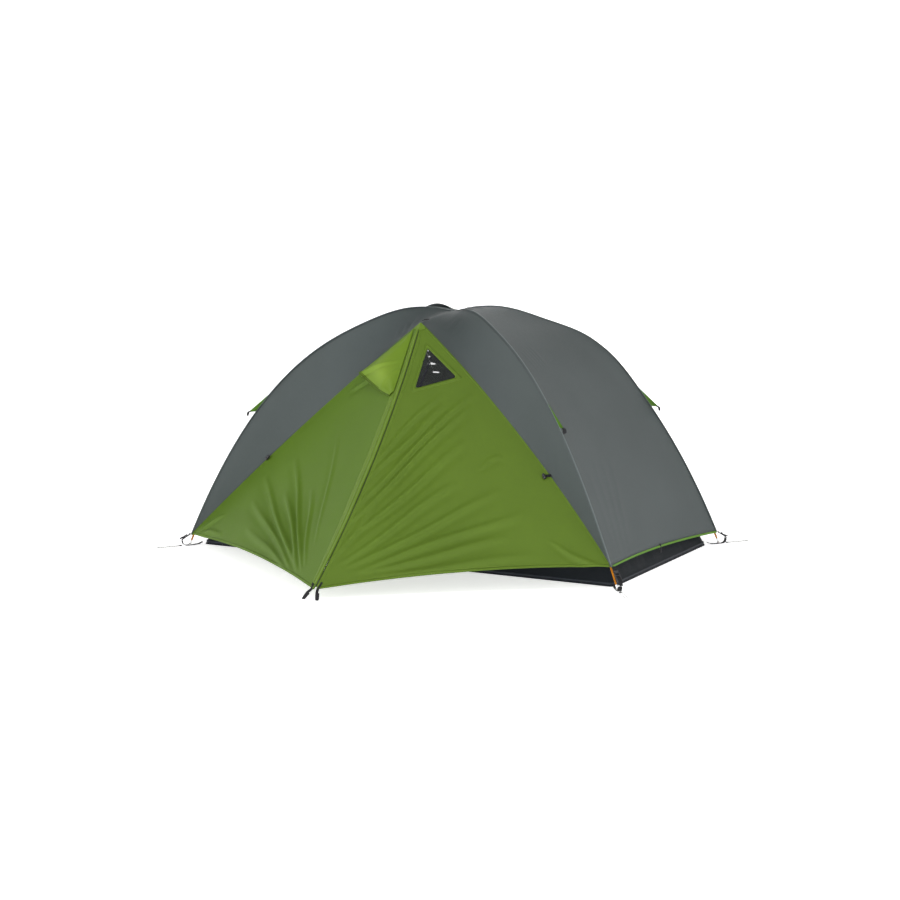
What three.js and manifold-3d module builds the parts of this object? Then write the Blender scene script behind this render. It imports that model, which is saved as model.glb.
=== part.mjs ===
// Two-person dome tent, pitched: two crossing poles and a short brow pole hold up a rain fly with a
// vestibule and a two-piece zipped door at the front and at the back, over an inner tent with a tub floor.
// Millimetres, +Z up, origin on the ground under the crossing. The front door faces -Y, and the back
// half is the front half turned half a turn about Z.
import * as THREE from 'three';
import { ConvexGeometry } from 'three/addons/geometries/ConvexGeometry.js';
import { mergeVertices } from 'three/addons/utils/BufferGeometryUtils.js';
import Module from 'manifold-3d';

const wasm = await Module();
wasm.setup();

// ---- Driving dimensions ----
const CROWN = 1118; // fly height over the crossing
const FOOT_X = 1120; // pole feet, half spacing along the tent
const FOOT_Y = 609; // pole feet, half spacing across the tent
const ARCH_POWER = 2.53; // how square the pole arches are
const PLAN_BOW = 80; // how far the arches bow towards the doors, in plan
const BROW_HALF = 340; // crossing to door apex
const BROW_HEIGHT = 1094; // fly height at the door apex
const TIP = new THREE.Vector3(30, -1375, 45); // lower end of the door zip
const WINDOW_CORNER = 0.963; // place of the fly corner along the arch, window side
const VENT_CORNER = 0.98; // the same, vent side
const HEM_LIFT = 0.024; // rise of a door's hem in its middle, part of the door height
const END_HEM_LIFT = 0.003; // rise of an end panel's hem, part of the arch
const RIDGE_CROWN = 7; // rise of the ridge over the brow pole between its ends
const END_SAG = 28; // inward pull of the end panels between the poles

const CLOTH = 1.2;
const FLOOR_CLOTH = 1.6;
const SEAM_GAP = 2.5; // from a seam line to the edge of the cloth beside it
const POLE_RADIUS = 4.3;
const POLE_INSET = 8; // pole centre in from the fly seam, square to the arch
const POLE_SHIFT = 5; // and towards the tent's long middle line
const POLE_SECTIONS = 7;
const JOINT_GAP = 0.4;

const TUB_BASE = [1072, 545];
const TUB_RIM = [1004, 520];
const TUB_HEIGHT = 150;
const INNER_X = 1058; // inner tent's own arch, a little inside the poles
const INNER_Y = 532;
const INNER_CROWN = 1062;
const INNER_FOOT = 0.937; // where the inner walls meet the tub, along the arch
const INNER_DOOR_TOP = 0.35;
const INNER_DOOR_BOTTOM = 0.925;
const INNER_DOOR_HALF = [250, 440]; // half width at top and bottom
const INNER_DOOR_GAP = 7;

const FLAP_WIDTH = 36;
const ZIP_VENT_EDGE = 3; // zip centre line to the vent half's edge
const ZIP_WINDOW_EDGE = 9; // and to the window half's edge
const WINDOW = [[114, 69], [221, 250], [352, 84]]; // along the zip, away from the zip
const VENT_HOLE = [[120, 62], [240, 205], [345, 62]];
const OPENING_RADIUS = 20; // corner radius of the window and the vent hole
const HOOD = [[48, 0], [250, 221], [398, 0]]; // along the zip, away from the hood's hinge
const HOOD_RIM = [335, 125]; // control point of the rim's curve
const HOOD_HINGE = 43; // zip line to the hood's hinge
const HOOD_RISE = 13; // degrees that the open hood stands off the door
const STRUT_PLACE = [300, 105];
const STRUT_SIZE = [22, 10, 1.5];
const STRUT_LEAN = 35;

const GUY_PLACE = [0.62, 0.69];
const WEBBING = 2;
const CORD_RADIUS = 1.25;

// ---- Materials ----
const COLOURS = {
  grey_cloth: [0x5c6464, 0.7, 0],
  green_cloth: [0x688834, 0.6, 0],
  hood_cloth: [0x849c3c, 0.6, 0],
  tub_cloth: [0x2d3238, 0.7, 0],
  inner_cloth: [0x8f9696, 0.8, 0],
  mesh: [0x2b2d2a, 0.8, 0],
  clear: [0xb8c0c0, 0.1, 0],
  orange_pole: [0xd77d14, 0.35, 0.8],
  black_webbing: [0x18191b, 0.8, 0],
  black_plastic: [0x141416, 0.5, 0],
  cord: [0x8d8f90, 0.8, 0],
};

const tent = new THREE.Group();

function add(parent, name, geometry, finish) {
  const [color, roughness, metalness] = COLOURS[finish];
  const mesh = new THREE.Mesh(geometry, new THREE.MeshStandardMaterial({ color, roughness, metalness }));
  mesh.name = name;
  parent.add(mesh);
}

// ---- Geometry helpers ----
const vec = (x, y, z) => new THREE.Vector3(x, y, z);
const mix = (a, b, t) => a.clone().lerp(b, t);
const steps = (from, to, count) => {
  const step = (to - from) / count;
  return Array.from({ length: count + 1 }, (_, i) => from + step * i);
};

/** Closed sheet of even thickness around the surface pointAt(row, column), less the cells not kept. */
function sheet(rows, columns, pointAt, thickness = CLOTH, keep = () => true) {
  const positions = rows.flatMap((r) => columns.flatMap((c) => pointAt(r, c).toArray()));
  const index = [];
  for (let r = 0; r < rows.length - 1; r += 1) {
    for (let c = 0; c < columns.length - 1; c += 1) {
      if (!keep(rows[r], columns[c])) continue;
      const a = r * columns.length + c;
      const b = a + columns.length;
      index.push(a, b, a + 1, b, b + 1, a + 1);
    }
  }
  const flat = new THREE.BufferGeometry();
  flat.setAttribute('position', new THREE.Float32BufferAttribute(positions, 3));
  flat.setIndex(index);
  return thicken(mergeVertices(flat, 0.01), thickness);
}

function thicken(surface, thickness) {
  surface.computeVertexNormals();
  const place = surface.attributes.position;
  const normal = surface.attributes.normal;
  const positions = [];
  for (const side of [0.5, -0.5]) {
    for (let i = 0; i < place.count; i += 1) {
      const push = vec().fromBufferAttribute(normal, i).multiplyScalar(side * thickness);
      positions.push(...vec().fromBufferAttribute(place, i).add(push).toArray());
    }
  }
  const index = [];
  const edges = new Map();
  const source = surface.index.array;
  for (let i = 0; i < source.length; i += 3) {
    const [a, b, c] = source.slice(i, i + 3);
    if (a === b || b === c || a === c) continue;
    index.push(a, b, c, a + place.count, c + place.count, b + place.count);
    for (const [from, to] of [[a, b], [b, c], [c, a]]) {
      if (!edges.delete(`${to}_${from}`)) edges.set(`${from}_${to}`, [from, to]);
    }
  }
  for (const [from, to] of edges.values()) {
    index.push(to, from, from + place.count, to, from + place.count, to + place.count);
  }
  return compact(positions, index);
}

/** Drops points that no triangle uses. */
function compact(positions, index) {
  const used = new Map();
  const kept = [];
  const renumbered = index.map((i) => {
    if (!used.has(i)) {
      used.set(i, used.size);
      kept.push(...positions.slice(3 * i, 3 * i + 3));
    }
    return used.get(i);
  });
  const geometry = new THREE.BufferGeometry();
  geometry.setAttribute('position', new THREE.Float32BufferAttribute(kept, 3));
  geometry.setIndex(renumbered);
  return geometry;
}

/** Flat strip of webbing through the points, its width along the given direction. */
function ribbon(points, across, width, thickness = WEBBING) {
  const path = new THREE.CatmullRomCurve3(points);
  const side = across.clone().normalize();
  const at = (t, c) => path.getPoint(t).addScaledVector(side, c * width);
  return sheet(steps(0, 1, 3 * (points.length - 1)), [-0.5, 0.5], at, thickness);
}

function tube(points, radius, sides, stepsAlong) {
  const section = new THREE.Shape().absarc(0, 0, radius, 0, 2 * Math.PI);
  const path = new THREE.CatmullRomCurve3(points);
  const options = { steps: stepsAlong, extrudePath: path, curveSegments: sides / 2, bevelEnabled: false };
  return new THREE.ExtrudeGeometry(section, options);
}

function toSolid(geometry) {
  const bare = geometry.clone();
  bare.deleteAttribute('normal');
  bare.deleteAttribute('uv');
  const merged = mergeVertices(bare, 1e-3);
  const vertProperties = new Float32Array(merged.attributes.position.array);
  const triVerts = new Uint32Array(merged.index.array);
  return new wasm.Manifold(new wasm.Mesh({ numProp: 3, vertProperties, triVerts }));
}

function fromSolid(solid) {
  const mesh = solid.getMesh();
  const geometry = new THREE.BufferGeometry();
  geometry.setAttribute('position', new THREE.BufferAttribute(mesh.vertProperties, 3));
  geometry.setIndex(new THREE.BufferAttribute(mesh.triVerts, 1));
  return geometry;
}

function joined(first, ...rest) {
  return fromSolid(rest.reduce((sum, next) => sum.add(toSolid(next)), toSolid(first)));
}

// ---- The arches ----
/** Point of the fly seam over a pole. End and side are -1 or 1, and s runs from 0, at the crossing, to 1. */
function seam(end, side, s) {
  const y = FOOT_Y * s + 4 * PLAN_BOW * s * (1 - s);
  return vec(end * FOOT_X * s, side * y, CROWN * (1 - s ** ARCH_POWER));
}

/** The same for the pole itself, which runs inside the seam and lower where the poles cross. */
function poleCentre(end, side, s, drop) {
  const step = 1e-3;
  const along = seam(end, side, Math.min(s + step, 1)).sub(seam(end, side, Math.max(s - step, 0)));
  const outward = vec(end * FOOT_X, side * FOOT_Y, 0).normalize();
  const lean = vec(outward.x, outward.y, 0).multiplyScalar(-along.z);
  lean.z = along.dot(outward);
  const crossing = drop * Math.exp(-((s / 0.12) ** 2));
  const shift = vec(0, -side * POLE_SHIFT * Math.min(1, s / 0.1), -crossing);
  return seam(end, side, s).addScaledVector(lean.normalize(), -POLE_INSET).add(shift);
}

/** Inner tent's arch. */
function innerSeam(end, side, s) {
  const y = INNER_Y * s + 4 * PLAN_BOW * s * (1 - s) * 0.9;
  return vec(end * INNER_X * s, side * y, INNER_CROWN * (1 - s ** ARCH_POWER));
}

const APEX = vec(0, -BROW_HALF, BROW_HEIGHT);
const CORNERS = { vent: seam(-1, -1, VENT_CORNER), window: seam(1, -1, WINDOW_CORNER) };

// ---- Fly ----
function endPanel(end) {
  const hem = (t) => (end > 0 ? [WINDOW_CORNER, VENT_CORNER] : [VENT_CORNER, WINDOW_CORNER])
    .reduce((a, b) => a + (b - a) * t) - END_HEM_LIFT * 4 * t * (1 - t);
  const at = (row, column) => {
    const s = 0.03 + (hem(column) - 0.03) * row;
    const [front, back] = [seam(end, -1, s), seam(end, 1, s)];
    const margin = SEAM_GAP / front.distanceTo(back);
    const t = margin + (1 - 2 * margin) * column;
    return mix(front, back, t).add(vec(-end * END_SAG * s * 4 * t * (1 - t), 0, 0));
  };
  return sheet(steps(0, 1, 14), steps(0, 1, 8), at);
}

function gusset(end, corner) {
  const s = end > 0 ? WINDOW_CORNER : VENT_CORNER;
  const at = (row, column) => {
    const pole = seam(end, -1, row * s);
    const chord = mix(APEX, corner, row);
    const margin = SEAM_GAP / pole.distanceTo(chord);
    const ridge = RIDGE_CROWN * 4 * column * (1 - column) * (1 - row) ** 6;
    return mix(pole, chord, margin + (1 - 2 * margin) * column).add(vec(0, 0, ridge));
  };
  return sheet(steps(0.012, 0.985, 14), steps(0, 1, 4), at);
}

// ---- Doors: each half is flat and lies in a frame with x down the zip, y away from it and z out ----
function doorFrame(corner) {
  const down = TIP.clone().sub(APEX).normalize();
  const reach = corner.clone().sub(APEX);
  const away = reach.clone().addScaledVector(down, -reach.dot(down)).normalize();
  const out = down.clone().cross(away);
  const turn = Math.sign(out.z);
  const basis = new THREE.Matrix4().makeBasis(down, away, out.multiplyScalar(turn));
  const place = basis.clone().setPosition(APEX);
  return { place, turn, corner: [reach.dot(down), reach.dot(away)], down, away, out };
}

/** Extrudes an outline of door coordinates to a plate from low to high above the door plane. */
function plate(outline, low, high, holes = []) {
  const clockwise = THREE.ShapeUtils.isClockWise(outline);
  const shape = new THREE.Shape(clockwise ? outline.toReversed() : outline);
  shape.holes = holes.map((hole) => new THREE.Path(hole));
  const solid = new THREE.ExtrudeGeometry(shape, { depth: high - low, bevelEnabled: false });
  return solid.translate(0, 0, low);
}

/** A left-handed door frame mirrors its solid, so its triangles are turned over. */
function placed(geometry, frame) {
  const solid = mergeVertices(stripped(geometry), 1e-3);
  solid.applyMatrix4(frame.place);
  if (frame.turn < 0) {
    const index = solid.index.array;
    for (let i = 0; i < index.length; i += 3) [index[i], index[i + 1]] = [index[i + 1], index[i]];
  }
  return solid;
}

function stripped(geometry) {
  const bare = geometry.clone();
  bare.deleteAttribute('normal');
  bare.deleteAttribute('uv');
  return bare;
}

const flat = (x, y) => new THREE.Vector2(x, y);

/** Triangle with rounded corners, moved in from its sides by the inset. */
function roundedTriangle(corners, radius, inset) {
  const points = corners.map(([x, y]) => flat(x, y));
  const centre = points.reduce((sum, p) => sum.add(p), flat(0, 0)).divideScalar(3);
  const outline = [];
  points.forEach((point, i) => {
    const before = points[(i + 2) % 3].clone().sub(point).normalize();
    const after = points[(i + 1) % 3].clone().sub(point).normalize();
    const inner = point.clone().add(centre.clone().sub(point).setLength(2.2 * inset));
    const from = inner.clone().addScaledVector(before, radius);
    const to = inner.clone().addScaledVector(after, radius);
    const arc = new THREE.QuadraticBezierCurve(from, inner, to);
    outline.push(...arc.getPoints(4));
  });
  return outline;
}

function doorOutline(frame, zipEdge) {
  const [cx, cy] = frame.corner;
  const length = Math.hypot(cx, cy);
  const shift = flat(cy, -cx).multiplyScalar(SEAM_GAP / length);
  const top = flat(((zipEdge - shift.y) * cx) / cy + shift.x, zipEdge);
  const low = flat(cx, cy).multiplyScalar(0.995).add(shift);
  const tip = flat(TIP.distanceTo(APEX), zipEdge);
  const control = low.clone().add(tip).multiplyScalar(0.5).multiplyScalar(1 - 2 * HEM_LIFT);
  const hem = new THREE.QuadraticBezierCurve(low, control, tip);
  return [top, ...hem.getPoints(10)];
}

/** Webbing loop from the tip's cloth down to the ground, where a stake holds it. */
function stakeLoop(frame, across, landing) {
  const from = vec(TIP.distanceTo(APEX) - 22, across, 0).applyMatrix4(frame.place);
  const to = vec(landing, TIP.y - 14, 3);
  const bend = mix(from, to, 0.5).add(vec(0, -5, 3));
  return ribbon([from, bend, to], vec(1, 0.2, 0), 13);
}

function ventHalf(frame) {
  const hole = roundedTriangle(VENT_HOLE, OPENING_RADIUS, 0);
  const cloth = plate(doorOutline(frame, ZIP_VENT_EDGE), -CLOTH / 2, CLOTH / 2, [hole]);
  return joined(placed(cloth, frame), stakeLoop(frame, 34, -16));
}

function windowHalf(frame) {
  const hole = roundedTriangle(WINDOW, OPENING_RADIUS, 0);
  const cloth = plate(doorOutline(frame, ZIP_WINDOW_EDGE), -CLOTH / 2, CLOTH / 2, [hole]);
  return joined(placed(cloth, frame), stakeLoop(frame, 22, 50));
}

function pane(frame, corners) {
  return placed(plate(roundedTriangle(corners, OPENING_RADIUS, 0.6), -0.5, 0.5), frame);
}

function stormFlap(frame) {
  const [top, end] = [34, TIP.distanceTo(APEX) - 26];
  const edge = ZIP_VENT_EDGE - 1;
  const sewn = edge + FLAP_WIDTH;
  const outline = [flat(top, edge), flat(end, edge), flat(end, sewn), flat(top + 12, sewn)];
  return placed(plate(outline, 1.5, 2.7), frame);
}

function zipSlider(frame) {
  const start = TIP.distanceTo(APEX) - 42;
  const body = new THREE.BoxGeometry(17, 9.4, 3.6).translate(start, 3.6, -0.7);
  const tab = new THREE.BoxGeometry(34, 5, 1.6).translate(start + 4, 3.6, -4.4);
  const neck = new THREE.BoxGeometry(5, 4, 4).translate(start - 6, 3.6, -3);
  return joined(placed(body, frame), placed(neck, frame), placed(tab, frame));
}

/** The hood's plane turns up from the door plane about its hinge beside the storm flap. */
function hoodFrame(frame) {
  const lift = new THREE.Matrix4().makeRotationX(THREE.MathUtils.degToRad(HOOD_RISE));
  const hinge = new THREE.Matrix4().makeTranslation(0, HOOD_HINGE, 4);
  const place = frame.place.clone().multiply(hinge).multiply(lift);
  return { ...frame, place };
}

function ventHood(hood) {
  const [top, left, right] = HOOD.map(([x, y]) => flat(x, y));
  const rim = new THREE.QuadraticBezierCurve(left, flat(...HOOD_RIM), right);
  return placed(plate([top, ...rim.getPoints(8)], 0, CLOTH), hood);
}

function ventStrut(hood) {
  const [length, width, thickness] = STRUT_SIZE;
  const blade = new THREE.BoxGeometry(thickness, width, length).translate(0, 0, -length / 2);
  blade.rotateY(THREE.MathUtils.degToRad(STRUT_LEAN)).translate(STRUT_PLACE[0], STRUT_PLACE[1], -1.2);
  return placed(blade, hood);
}

function buildFrontFly(prefix, parent) {
  const vent = doorFrame(CORNERS.vent);
  const window = doorFrame(CORNERS.window);
  const hood = hoodFrame(vent);
  add(parent, `${prefix}_vent_side_gusset`, gusset(-1, CORNERS.vent), 'grey_cloth');
  add(parent, `${prefix}_window_side_gusset`, gusset(1, CORNERS.window), 'grey_cloth');
  add(parent, `${prefix}_door_vent_half`, ventHalf(vent), 'green_cloth');
  add(parent, `${prefix}_door_window_half`, windowHalf(window), 'green_cloth');
  add(parent, `${prefix}_window_pane`, pane(window, WINDOW), 'clear');
  add(parent, `${prefix}_vent_mesh`, pane(vent, VENT_HOLE), 'mesh');
  add(parent, `${prefix}_storm_flap`, stormFlap(vent), 'green_cloth');
  add(parent, `${prefix}_zip_slider`, zipSlider(window), 'black_plastic');
  add(parent, `${prefix}_vent_hood`, ventHood(hood), 'hood_cloth');
  add(parent, `${prefix}_vent_strut`, ventStrut(hood), 'black_plastic');
}

// ---- Inner tent ----
function tub() {
  const frustum = ([bx, by], [rx, ry], low, high) => {
    const ring = (x, y, z) => [vec(x, y, z), vec(-x, y, z), vec(-x, -y, z), vec(x, -y, z)];
    return toSolid(new ConvexGeometry([...ring(bx, by, low), ...ring(rx, ry, high)]));
  };
  const thinner = ([x, y]) => [x - FLOOR_CLOTH, y - FLOOR_CLOTH];
  const outer = frustum(TUB_BASE, TUB_RIM, 0, TUB_HEIGHT);
  const hollow = frustum(thinner(TUB_BASE), thinner(TUB_RIM), FLOOR_CLOTH, TUB_HEIGHT + FLOOR_CLOTH);
  return fromSolid(outer.subtract(hollow));
}

function innerEnd(end) {
  const at = (row, column) => {
    const [front, back] = [innerSeam(end, -1, row), innerSeam(end, 1, row)];
    const margin = SEAM_GAP / front.distanceTo(back);
    return mix(front, back, margin + (1 - 2 * margin) * column);
  };
  return sheet(steps(0.04, INNER_FOOT, 12), steps(0, 1, 3), at);
}

function doorHalfWidth(s) {
  const [top, bottom] = INNER_DOOR_HALF;
  const part = (s - INNER_DOOR_TOP) / (INNER_DOOR_BOTTOM - INNER_DOOR_TOP);
  return top + (bottom - top) * part;
}

/** Front inner wall, straight along X, with an opening for its door: columns 1 and 2 bound the opening. */
function innerWall() {
  const top = INNER_DOOR_TOP - 0.008;
  const bottom = INNER_DOOR_BOTTOM + 0.004;
  const at = (row, column) => {
    const [left, right] = [innerSeam(-1, -1, row), innerSeam(1, -1, row)];
    const half = right.x - SEAM_GAP;
    const door = row > top ? doorHalfWidth(row) : doorHalfWidth(top) * (row / top);
    const opening = Math.min(door + INNER_DOOR_GAP, 0.9 * half);
    return vec([-half, -opening, opening, half][column], left.y, left.z);
  };
  const rows = [...steps(0.04, top, 5), ...steps(top, bottom, 10).slice(1), INNER_FOOT];
  return sheet(rows, [0, 1, 2, 3], at, CLOTH, (row, column) => column !== 1 || row < top || row >= bottom);
}

function innerDoor() {
  const at = (row, column) => {
    const edge = innerSeam(1, -1, row);
    return vec(doorHalfWidth(row) * column, edge.y, edge.z);
  };
  return sheet(steps(INNER_DOOR_TOP, INNER_DOOR_BOTTOM, 10), steps(-1, 1, 4), at);
}

// ---- Poles ----
function poleLine(fraction, mirror, drop) {
  const end = fraction < 0 ? -1 : 1;
  return poleCentre(end, end * mirror, Math.abs(fraction), drop);
}

/** Sections of one arch pole from foot to foot, of equal length, butted with a hairline gap. */
function buildPole(parent, name, mirror, drop) {
  const foot = 0.997; // the tips stand on the corner webbing
  const curve = new THREE.CatmullRomCurve3(steps(-foot, foot, 60).map((f) => poleLine(f, mirror, drop)));
  const total = curve.getLength();
  for (let i = 0; i < POLE_SECTIONS; i += 1) {
    const from = i / POLE_SECTIONS + (i > 0 ? JOINT_GAP / total : 0);
    const points = steps(from, (i + 1) / POLE_SECTIONS, 10).map((u) => curve.getPointAt(u));
    add(parent, `${name}_section_${i + 1}`, tube(points, POLE_RADIUS, 10, 12), 'orange_pole');
  }
}

function browPole() {
  const at = (y) => vec(0, y, CROWN - 7 - (CROWN - BROW_HEIGHT) * (y / BROW_HALF) ** 2);
  return tube(steps(-BROW_HALF + 12, BROW_HALF - 12, 12).map(at), POLE_RADIUS, 10, 16);
}

// ---- Corner webbing, buckles, guy-outs and stake cords ----
/** Ground direction from a floor corner out through its pole foot, and a point that far along it. */
function cornerLine(end, side) {
  const start = vec(end * TUB_BASE[0], side * TUB_BASE[1], 0);
  const out = poleCentre(end, side, 1, 0).setZ(0).sub(start).normalize();
  const across = vec(-out.y, out.x, 0);
  const at = (reach, z, shift = 0) => {
    const point = start.clone().addScaledVector(out, reach);
    return point.addScaledVector(across, shift).setZ(z);
  };
  return { at, across };
}

const STRAP_END = [104, 26];

function cornerStrap(end, side) {
  const { at, across } = cornerLine(end, side);
  const profile = [[2, 12], [34, 3.4], [76, 1.5], [94, 4.5], [103, 15], STRAP_END];
  return ribbon(profile.map(([reach, z]) => at(reach, z)), across, 20);
}

function flyBuckle(end, side, corner) {
  const { at, across } = cornerLine(end, side);
  const outward = vec(end, side, 0.3).normalize();
  const top = corner.clone().addScaledVector(outward, 6).add(vec(0, 0, -4));
  const low = at(STRAP_END[0] + 0.5, STRAP_END[1] + 2);
  const middle = mix(top, low, 0.5);
  const strap = ribbon([top, middle.clone().addScaledVector(outward, 2), low], across, 16);
  const buckle = new THREE.BoxGeometry(20, 7, 0.45 * top.distanceTo(low));
  buckle.rotateZ(Math.atan2(across.y, across.x)).translate(middle.x, middle.y, middle.z);
  buckle.translate(outward.x * 3, outward.y * 3, 0);
  return joined(strap, buckle);
}

function guyOut(end, side) {
  const [high, low] = GUY_PLACE.map((s) => seam(end, side, s));
  const outward = vec(end * FOOT_X, side * FOOT_Y, 0).normalize();
  const lift = outward.clone().add(vec(0, 0, 0.8)).multiplyScalar(2.2);
  const tip = low.clone().addScaledVector(outward, 36).add(vec(0, 0, -4));
  const sideways = vec(-outward.y, outward.x, 0);
  const finAt = (along, side) => mix(high, side ? low : tip, along).add(lift);
  const fin = sheet([0, 1], [0, 1], finAt, 1.6);
  const hang = [[-10, 4], [1, -8], [5, -28]];
  const root = tip.clone().add(lift);
  const hangAt = ([reach, rise]) => root.clone().addScaledVector(outward, reach).add(vec(0, 0, rise));
  const path = hang.map(hangAt);
  const tab = ribbon(path, sideways, 14, 1.8);
  return joined(fin, tab);
}

function stakeCord(end, side) {
  const { at } = cornerLine(end, side);
  const half = 6.5;
  const far = 226;
  const height = CORD_RADIUS + 0.2;
  const bend = steps(-90, 90, 6).map((a) => THREE.MathUtils.degToRad(a));
  const points = [at(111, height, -half), at(150, height, -half - 1.5), at(190, height, -half),
    ...bend.map((a) => at(far + half * Math.cos(a), height, half * Math.sin(a))),
    at(190, height, half), at(150, height, half + 1.5), at(111, height, half)];
  return tube(points, CORD_RADIUS, 8, 44);
}

function buildCorner(parent, name, end, side, corner, place) {
  add(parent, `${name}_corner_strap`, cornerStrap(end, side), 'black_webbing');
  add(parent, `${name}_fly_buckle`, flyBuckle(end, side, corner), 'black_plastic');
  add(parent, `${name}_guy_out`, guyOut(end, side), 'green_cloth');
  add(parent, `${name}_stake_cord`, stakeCord(end, side), 'cord');
}

/** Everything of the front half; the back half is the same, turned half a turn. */
function buildHalf(parent, name, leftName, rightName) {
  buildFrontFly(name, parent);
  add(parent, `${name}_inner_wall`, innerWall(), 'inner_cloth');
  add(parent, `${name}_inner_door`, innerDoor(), 'mesh');
  buildCorner(parent, `${name}_${leftName}`, -1, -1, CORNERS.vent);
  buildCorner(parent, `${name}_${rightName}`, 1, -1, CORNERS.window);
}

const front = new THREE.Group();
const back = new THREE.Group();
back.rotation.z = Math.PI;
buildHalf(front, 'front', 'left', 'right');
buildHalf(back, 'back', 'right', 'left');
tent.add(front, back);

add(tent, 'fly_right_end', endPanel(1), 'grey_cloth');
add(tent, 'fly_left_end', endPanel(-1), 'grey_cloth');
add(tent, 'floor_tub', tub(), 'tub_cloth');
add(tent, 'inner_right_end', innerEnd(1), 'inner_cloth');
add(tent, 'inner_left_end', innerEnd(-1), 'inner_cloth');
buildPole(tent, 'pole_a', 1, 9);
buildPole(tent, 'pole_b', -1, 19);
add(tent, 'brow_pole', browPole(), 'orange_pole');

export default tent;
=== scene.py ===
"""Looks of a pitched two-person dome tent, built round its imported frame.

Metres, +Z up. The front door faces -Y. The back door and the back gussets are the front ones, turned half a
turn about Z. The end panels aren't quite symmetric, so the back gussets don't meet them exactly.
"""
from math import cos, pi, radians, sin
import bpy
import numpy as np
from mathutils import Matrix, Vector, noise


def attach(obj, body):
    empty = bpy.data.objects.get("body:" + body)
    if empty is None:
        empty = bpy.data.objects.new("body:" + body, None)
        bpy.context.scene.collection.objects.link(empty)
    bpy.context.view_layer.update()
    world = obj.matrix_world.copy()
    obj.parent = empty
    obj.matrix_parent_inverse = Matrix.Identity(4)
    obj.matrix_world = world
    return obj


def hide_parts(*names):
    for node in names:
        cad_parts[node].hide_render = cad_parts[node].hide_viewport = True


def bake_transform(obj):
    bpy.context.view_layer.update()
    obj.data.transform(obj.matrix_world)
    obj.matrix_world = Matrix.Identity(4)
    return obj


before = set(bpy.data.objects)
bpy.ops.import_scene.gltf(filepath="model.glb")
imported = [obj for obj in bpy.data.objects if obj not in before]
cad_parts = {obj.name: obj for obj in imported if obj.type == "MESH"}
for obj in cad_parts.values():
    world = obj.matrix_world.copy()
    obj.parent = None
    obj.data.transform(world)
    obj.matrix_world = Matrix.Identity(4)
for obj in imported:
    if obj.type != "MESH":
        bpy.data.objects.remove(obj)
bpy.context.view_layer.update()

# ---- Sizes of the frame, as in the design ----
CROWN = 1.118
FOOT_X = 1.120
FOOT_Y = 0.609
ARCH_POWER = 2.53
PLAN_BOW = 0.080
APEX = np.array([0.0, -0.340, 1.094])
TIP = np.array([0.030, -1.375, 0.045])
WINDOW_CORNER = 0.963
VENT_CORNER = 0.98
HEM_LIFT = 0.024
END_HEM_LIFT = 0.003
RIDGE_CROWN = 0.007
END_SAG = 0.028
POLE_RADIUS = 0.0043
POLE_INSET = 0.008
POLE_SHIFT = 0.005
POLE_SECTIONS = 7
POLE_END = 0.997  # share of the arch where the pole stops, in its eyelet
POLE_DROP = {1: 0.009, -1: 0.019}  # how much lower pole a (1) and pole b (-1) pass at the crossing
TUB_BASE = (1.072, 0.545)
TUB_RIM = (1.004, 0.520)
TUB_HEIGHT = 0.150
INNER_X = 1.058
INNER_Y = 0.532
INNER_CROWN = 1.062
INNER_FOOT = 0.937
INNER_DOOR_TOP = 0.35
INNER_DOOR_BOTTOM = 0.925
INNER_DOOR_HALF = (0.250, 0.440)
INNER_DOOR_GAP = 0.007
INNER_BORDER = 0.035
ZIP_VENT_EDGE = 0.003
ZIP_WINDOW_EDGE = 0.009
WINDOW = ((0.114, 0.069), (0.221, 0.250), (0.352, 0.084))
VENT_HOLE = ((0.120, 0.062), (0.240, 0.205), (0.345, 0.062))
OPENING_RADIUS = 0.020
HOOD_TOP = 0.048
HOOD_LOW = 0.398
HOOD_CORNER = (0.250, 0.221)
HOOD_CONTROL = (0.335, 0.125)
HOOD_HINGE = 0.043
HOOD_RISE = radians(13)
HOOD_STAND = 0.004
GUY_PLACE = (0.62, 0.69)
GUY_SHIFT = np.array([0.035, 0.018])  # how much lower the front left and back right ones sit
CORD_RADIUS = 0.00125

# ---- Sizes of the small parts ----
TAB_WIDTH = 0.012
LOOP_WIDTH = 0.013
STRAP_WIDTH = 0.016
FLOOR_STRAP_WIDTH = 0.020
SEAM_WIDTH = 0.012
TAPE_THICKNESS = 0.0008
EYELET_RADIUS = 0.0092
CLIP_RADIUS = 0.0068
CLIP_PLACES = (0.14, 0.30, 0.46, 0.62, 0.78)  # shares along each arch
TOGGLE_HALF = 0.013
FIN_REACH = 0.036

# ---- Sizes that belong to the cloth ----
CLOTH = 0.0010
SHOULDER = 0.030  # how far the right end panel stands off the pole at the back right shoulder
HUMP = {(-1, -1): 0.028, (1, -1): 0.026, (1, 1): 0.026, (-1, 1): 0.005}  # rise beyond the crossing
ZIP_BOW = 0.033  # how far the zip line pulls over to the window side in its middle
SEAM_BOW = np.array([0.020, 0.030, 0.020])  # how far the door seams curve in towards the tent
CREASE_GAIN = 3.0
FLY_ARCH = 1.75  # length of the fly's cloth from the crossing to a corner
INNER_ARCH = 1.6  # the same for the inner
STITCH_PITCH = 0.0040
STITCH_SHARE = 0.72  # of the pitch, the rest is the gap between two stitches
NET_PITCH = 0.0016
NET_YARN = 0.48  # share of the netting's pitch
STEP = 1e-3  # share over which slopes are measured
SIDES = {"front": 1.0, "back": -1.0}

unit = lambda v: v / np.linalg.norm(v)
unit_rows = lambda v: v / np.maximum(np.linalg.norm(v, axis=-1, keepdims=True), 1e-12)
mix = lambda a, b, t: a + (b - a) * t
arc = lambda t: 4 * t * (1 - t)  # 0 at both ends and 1 in the middle
pair = lambda a, b: np.stack(np.broadcast_arrays(a, b), -1)  # one (a, b) for each point of a grid


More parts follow.
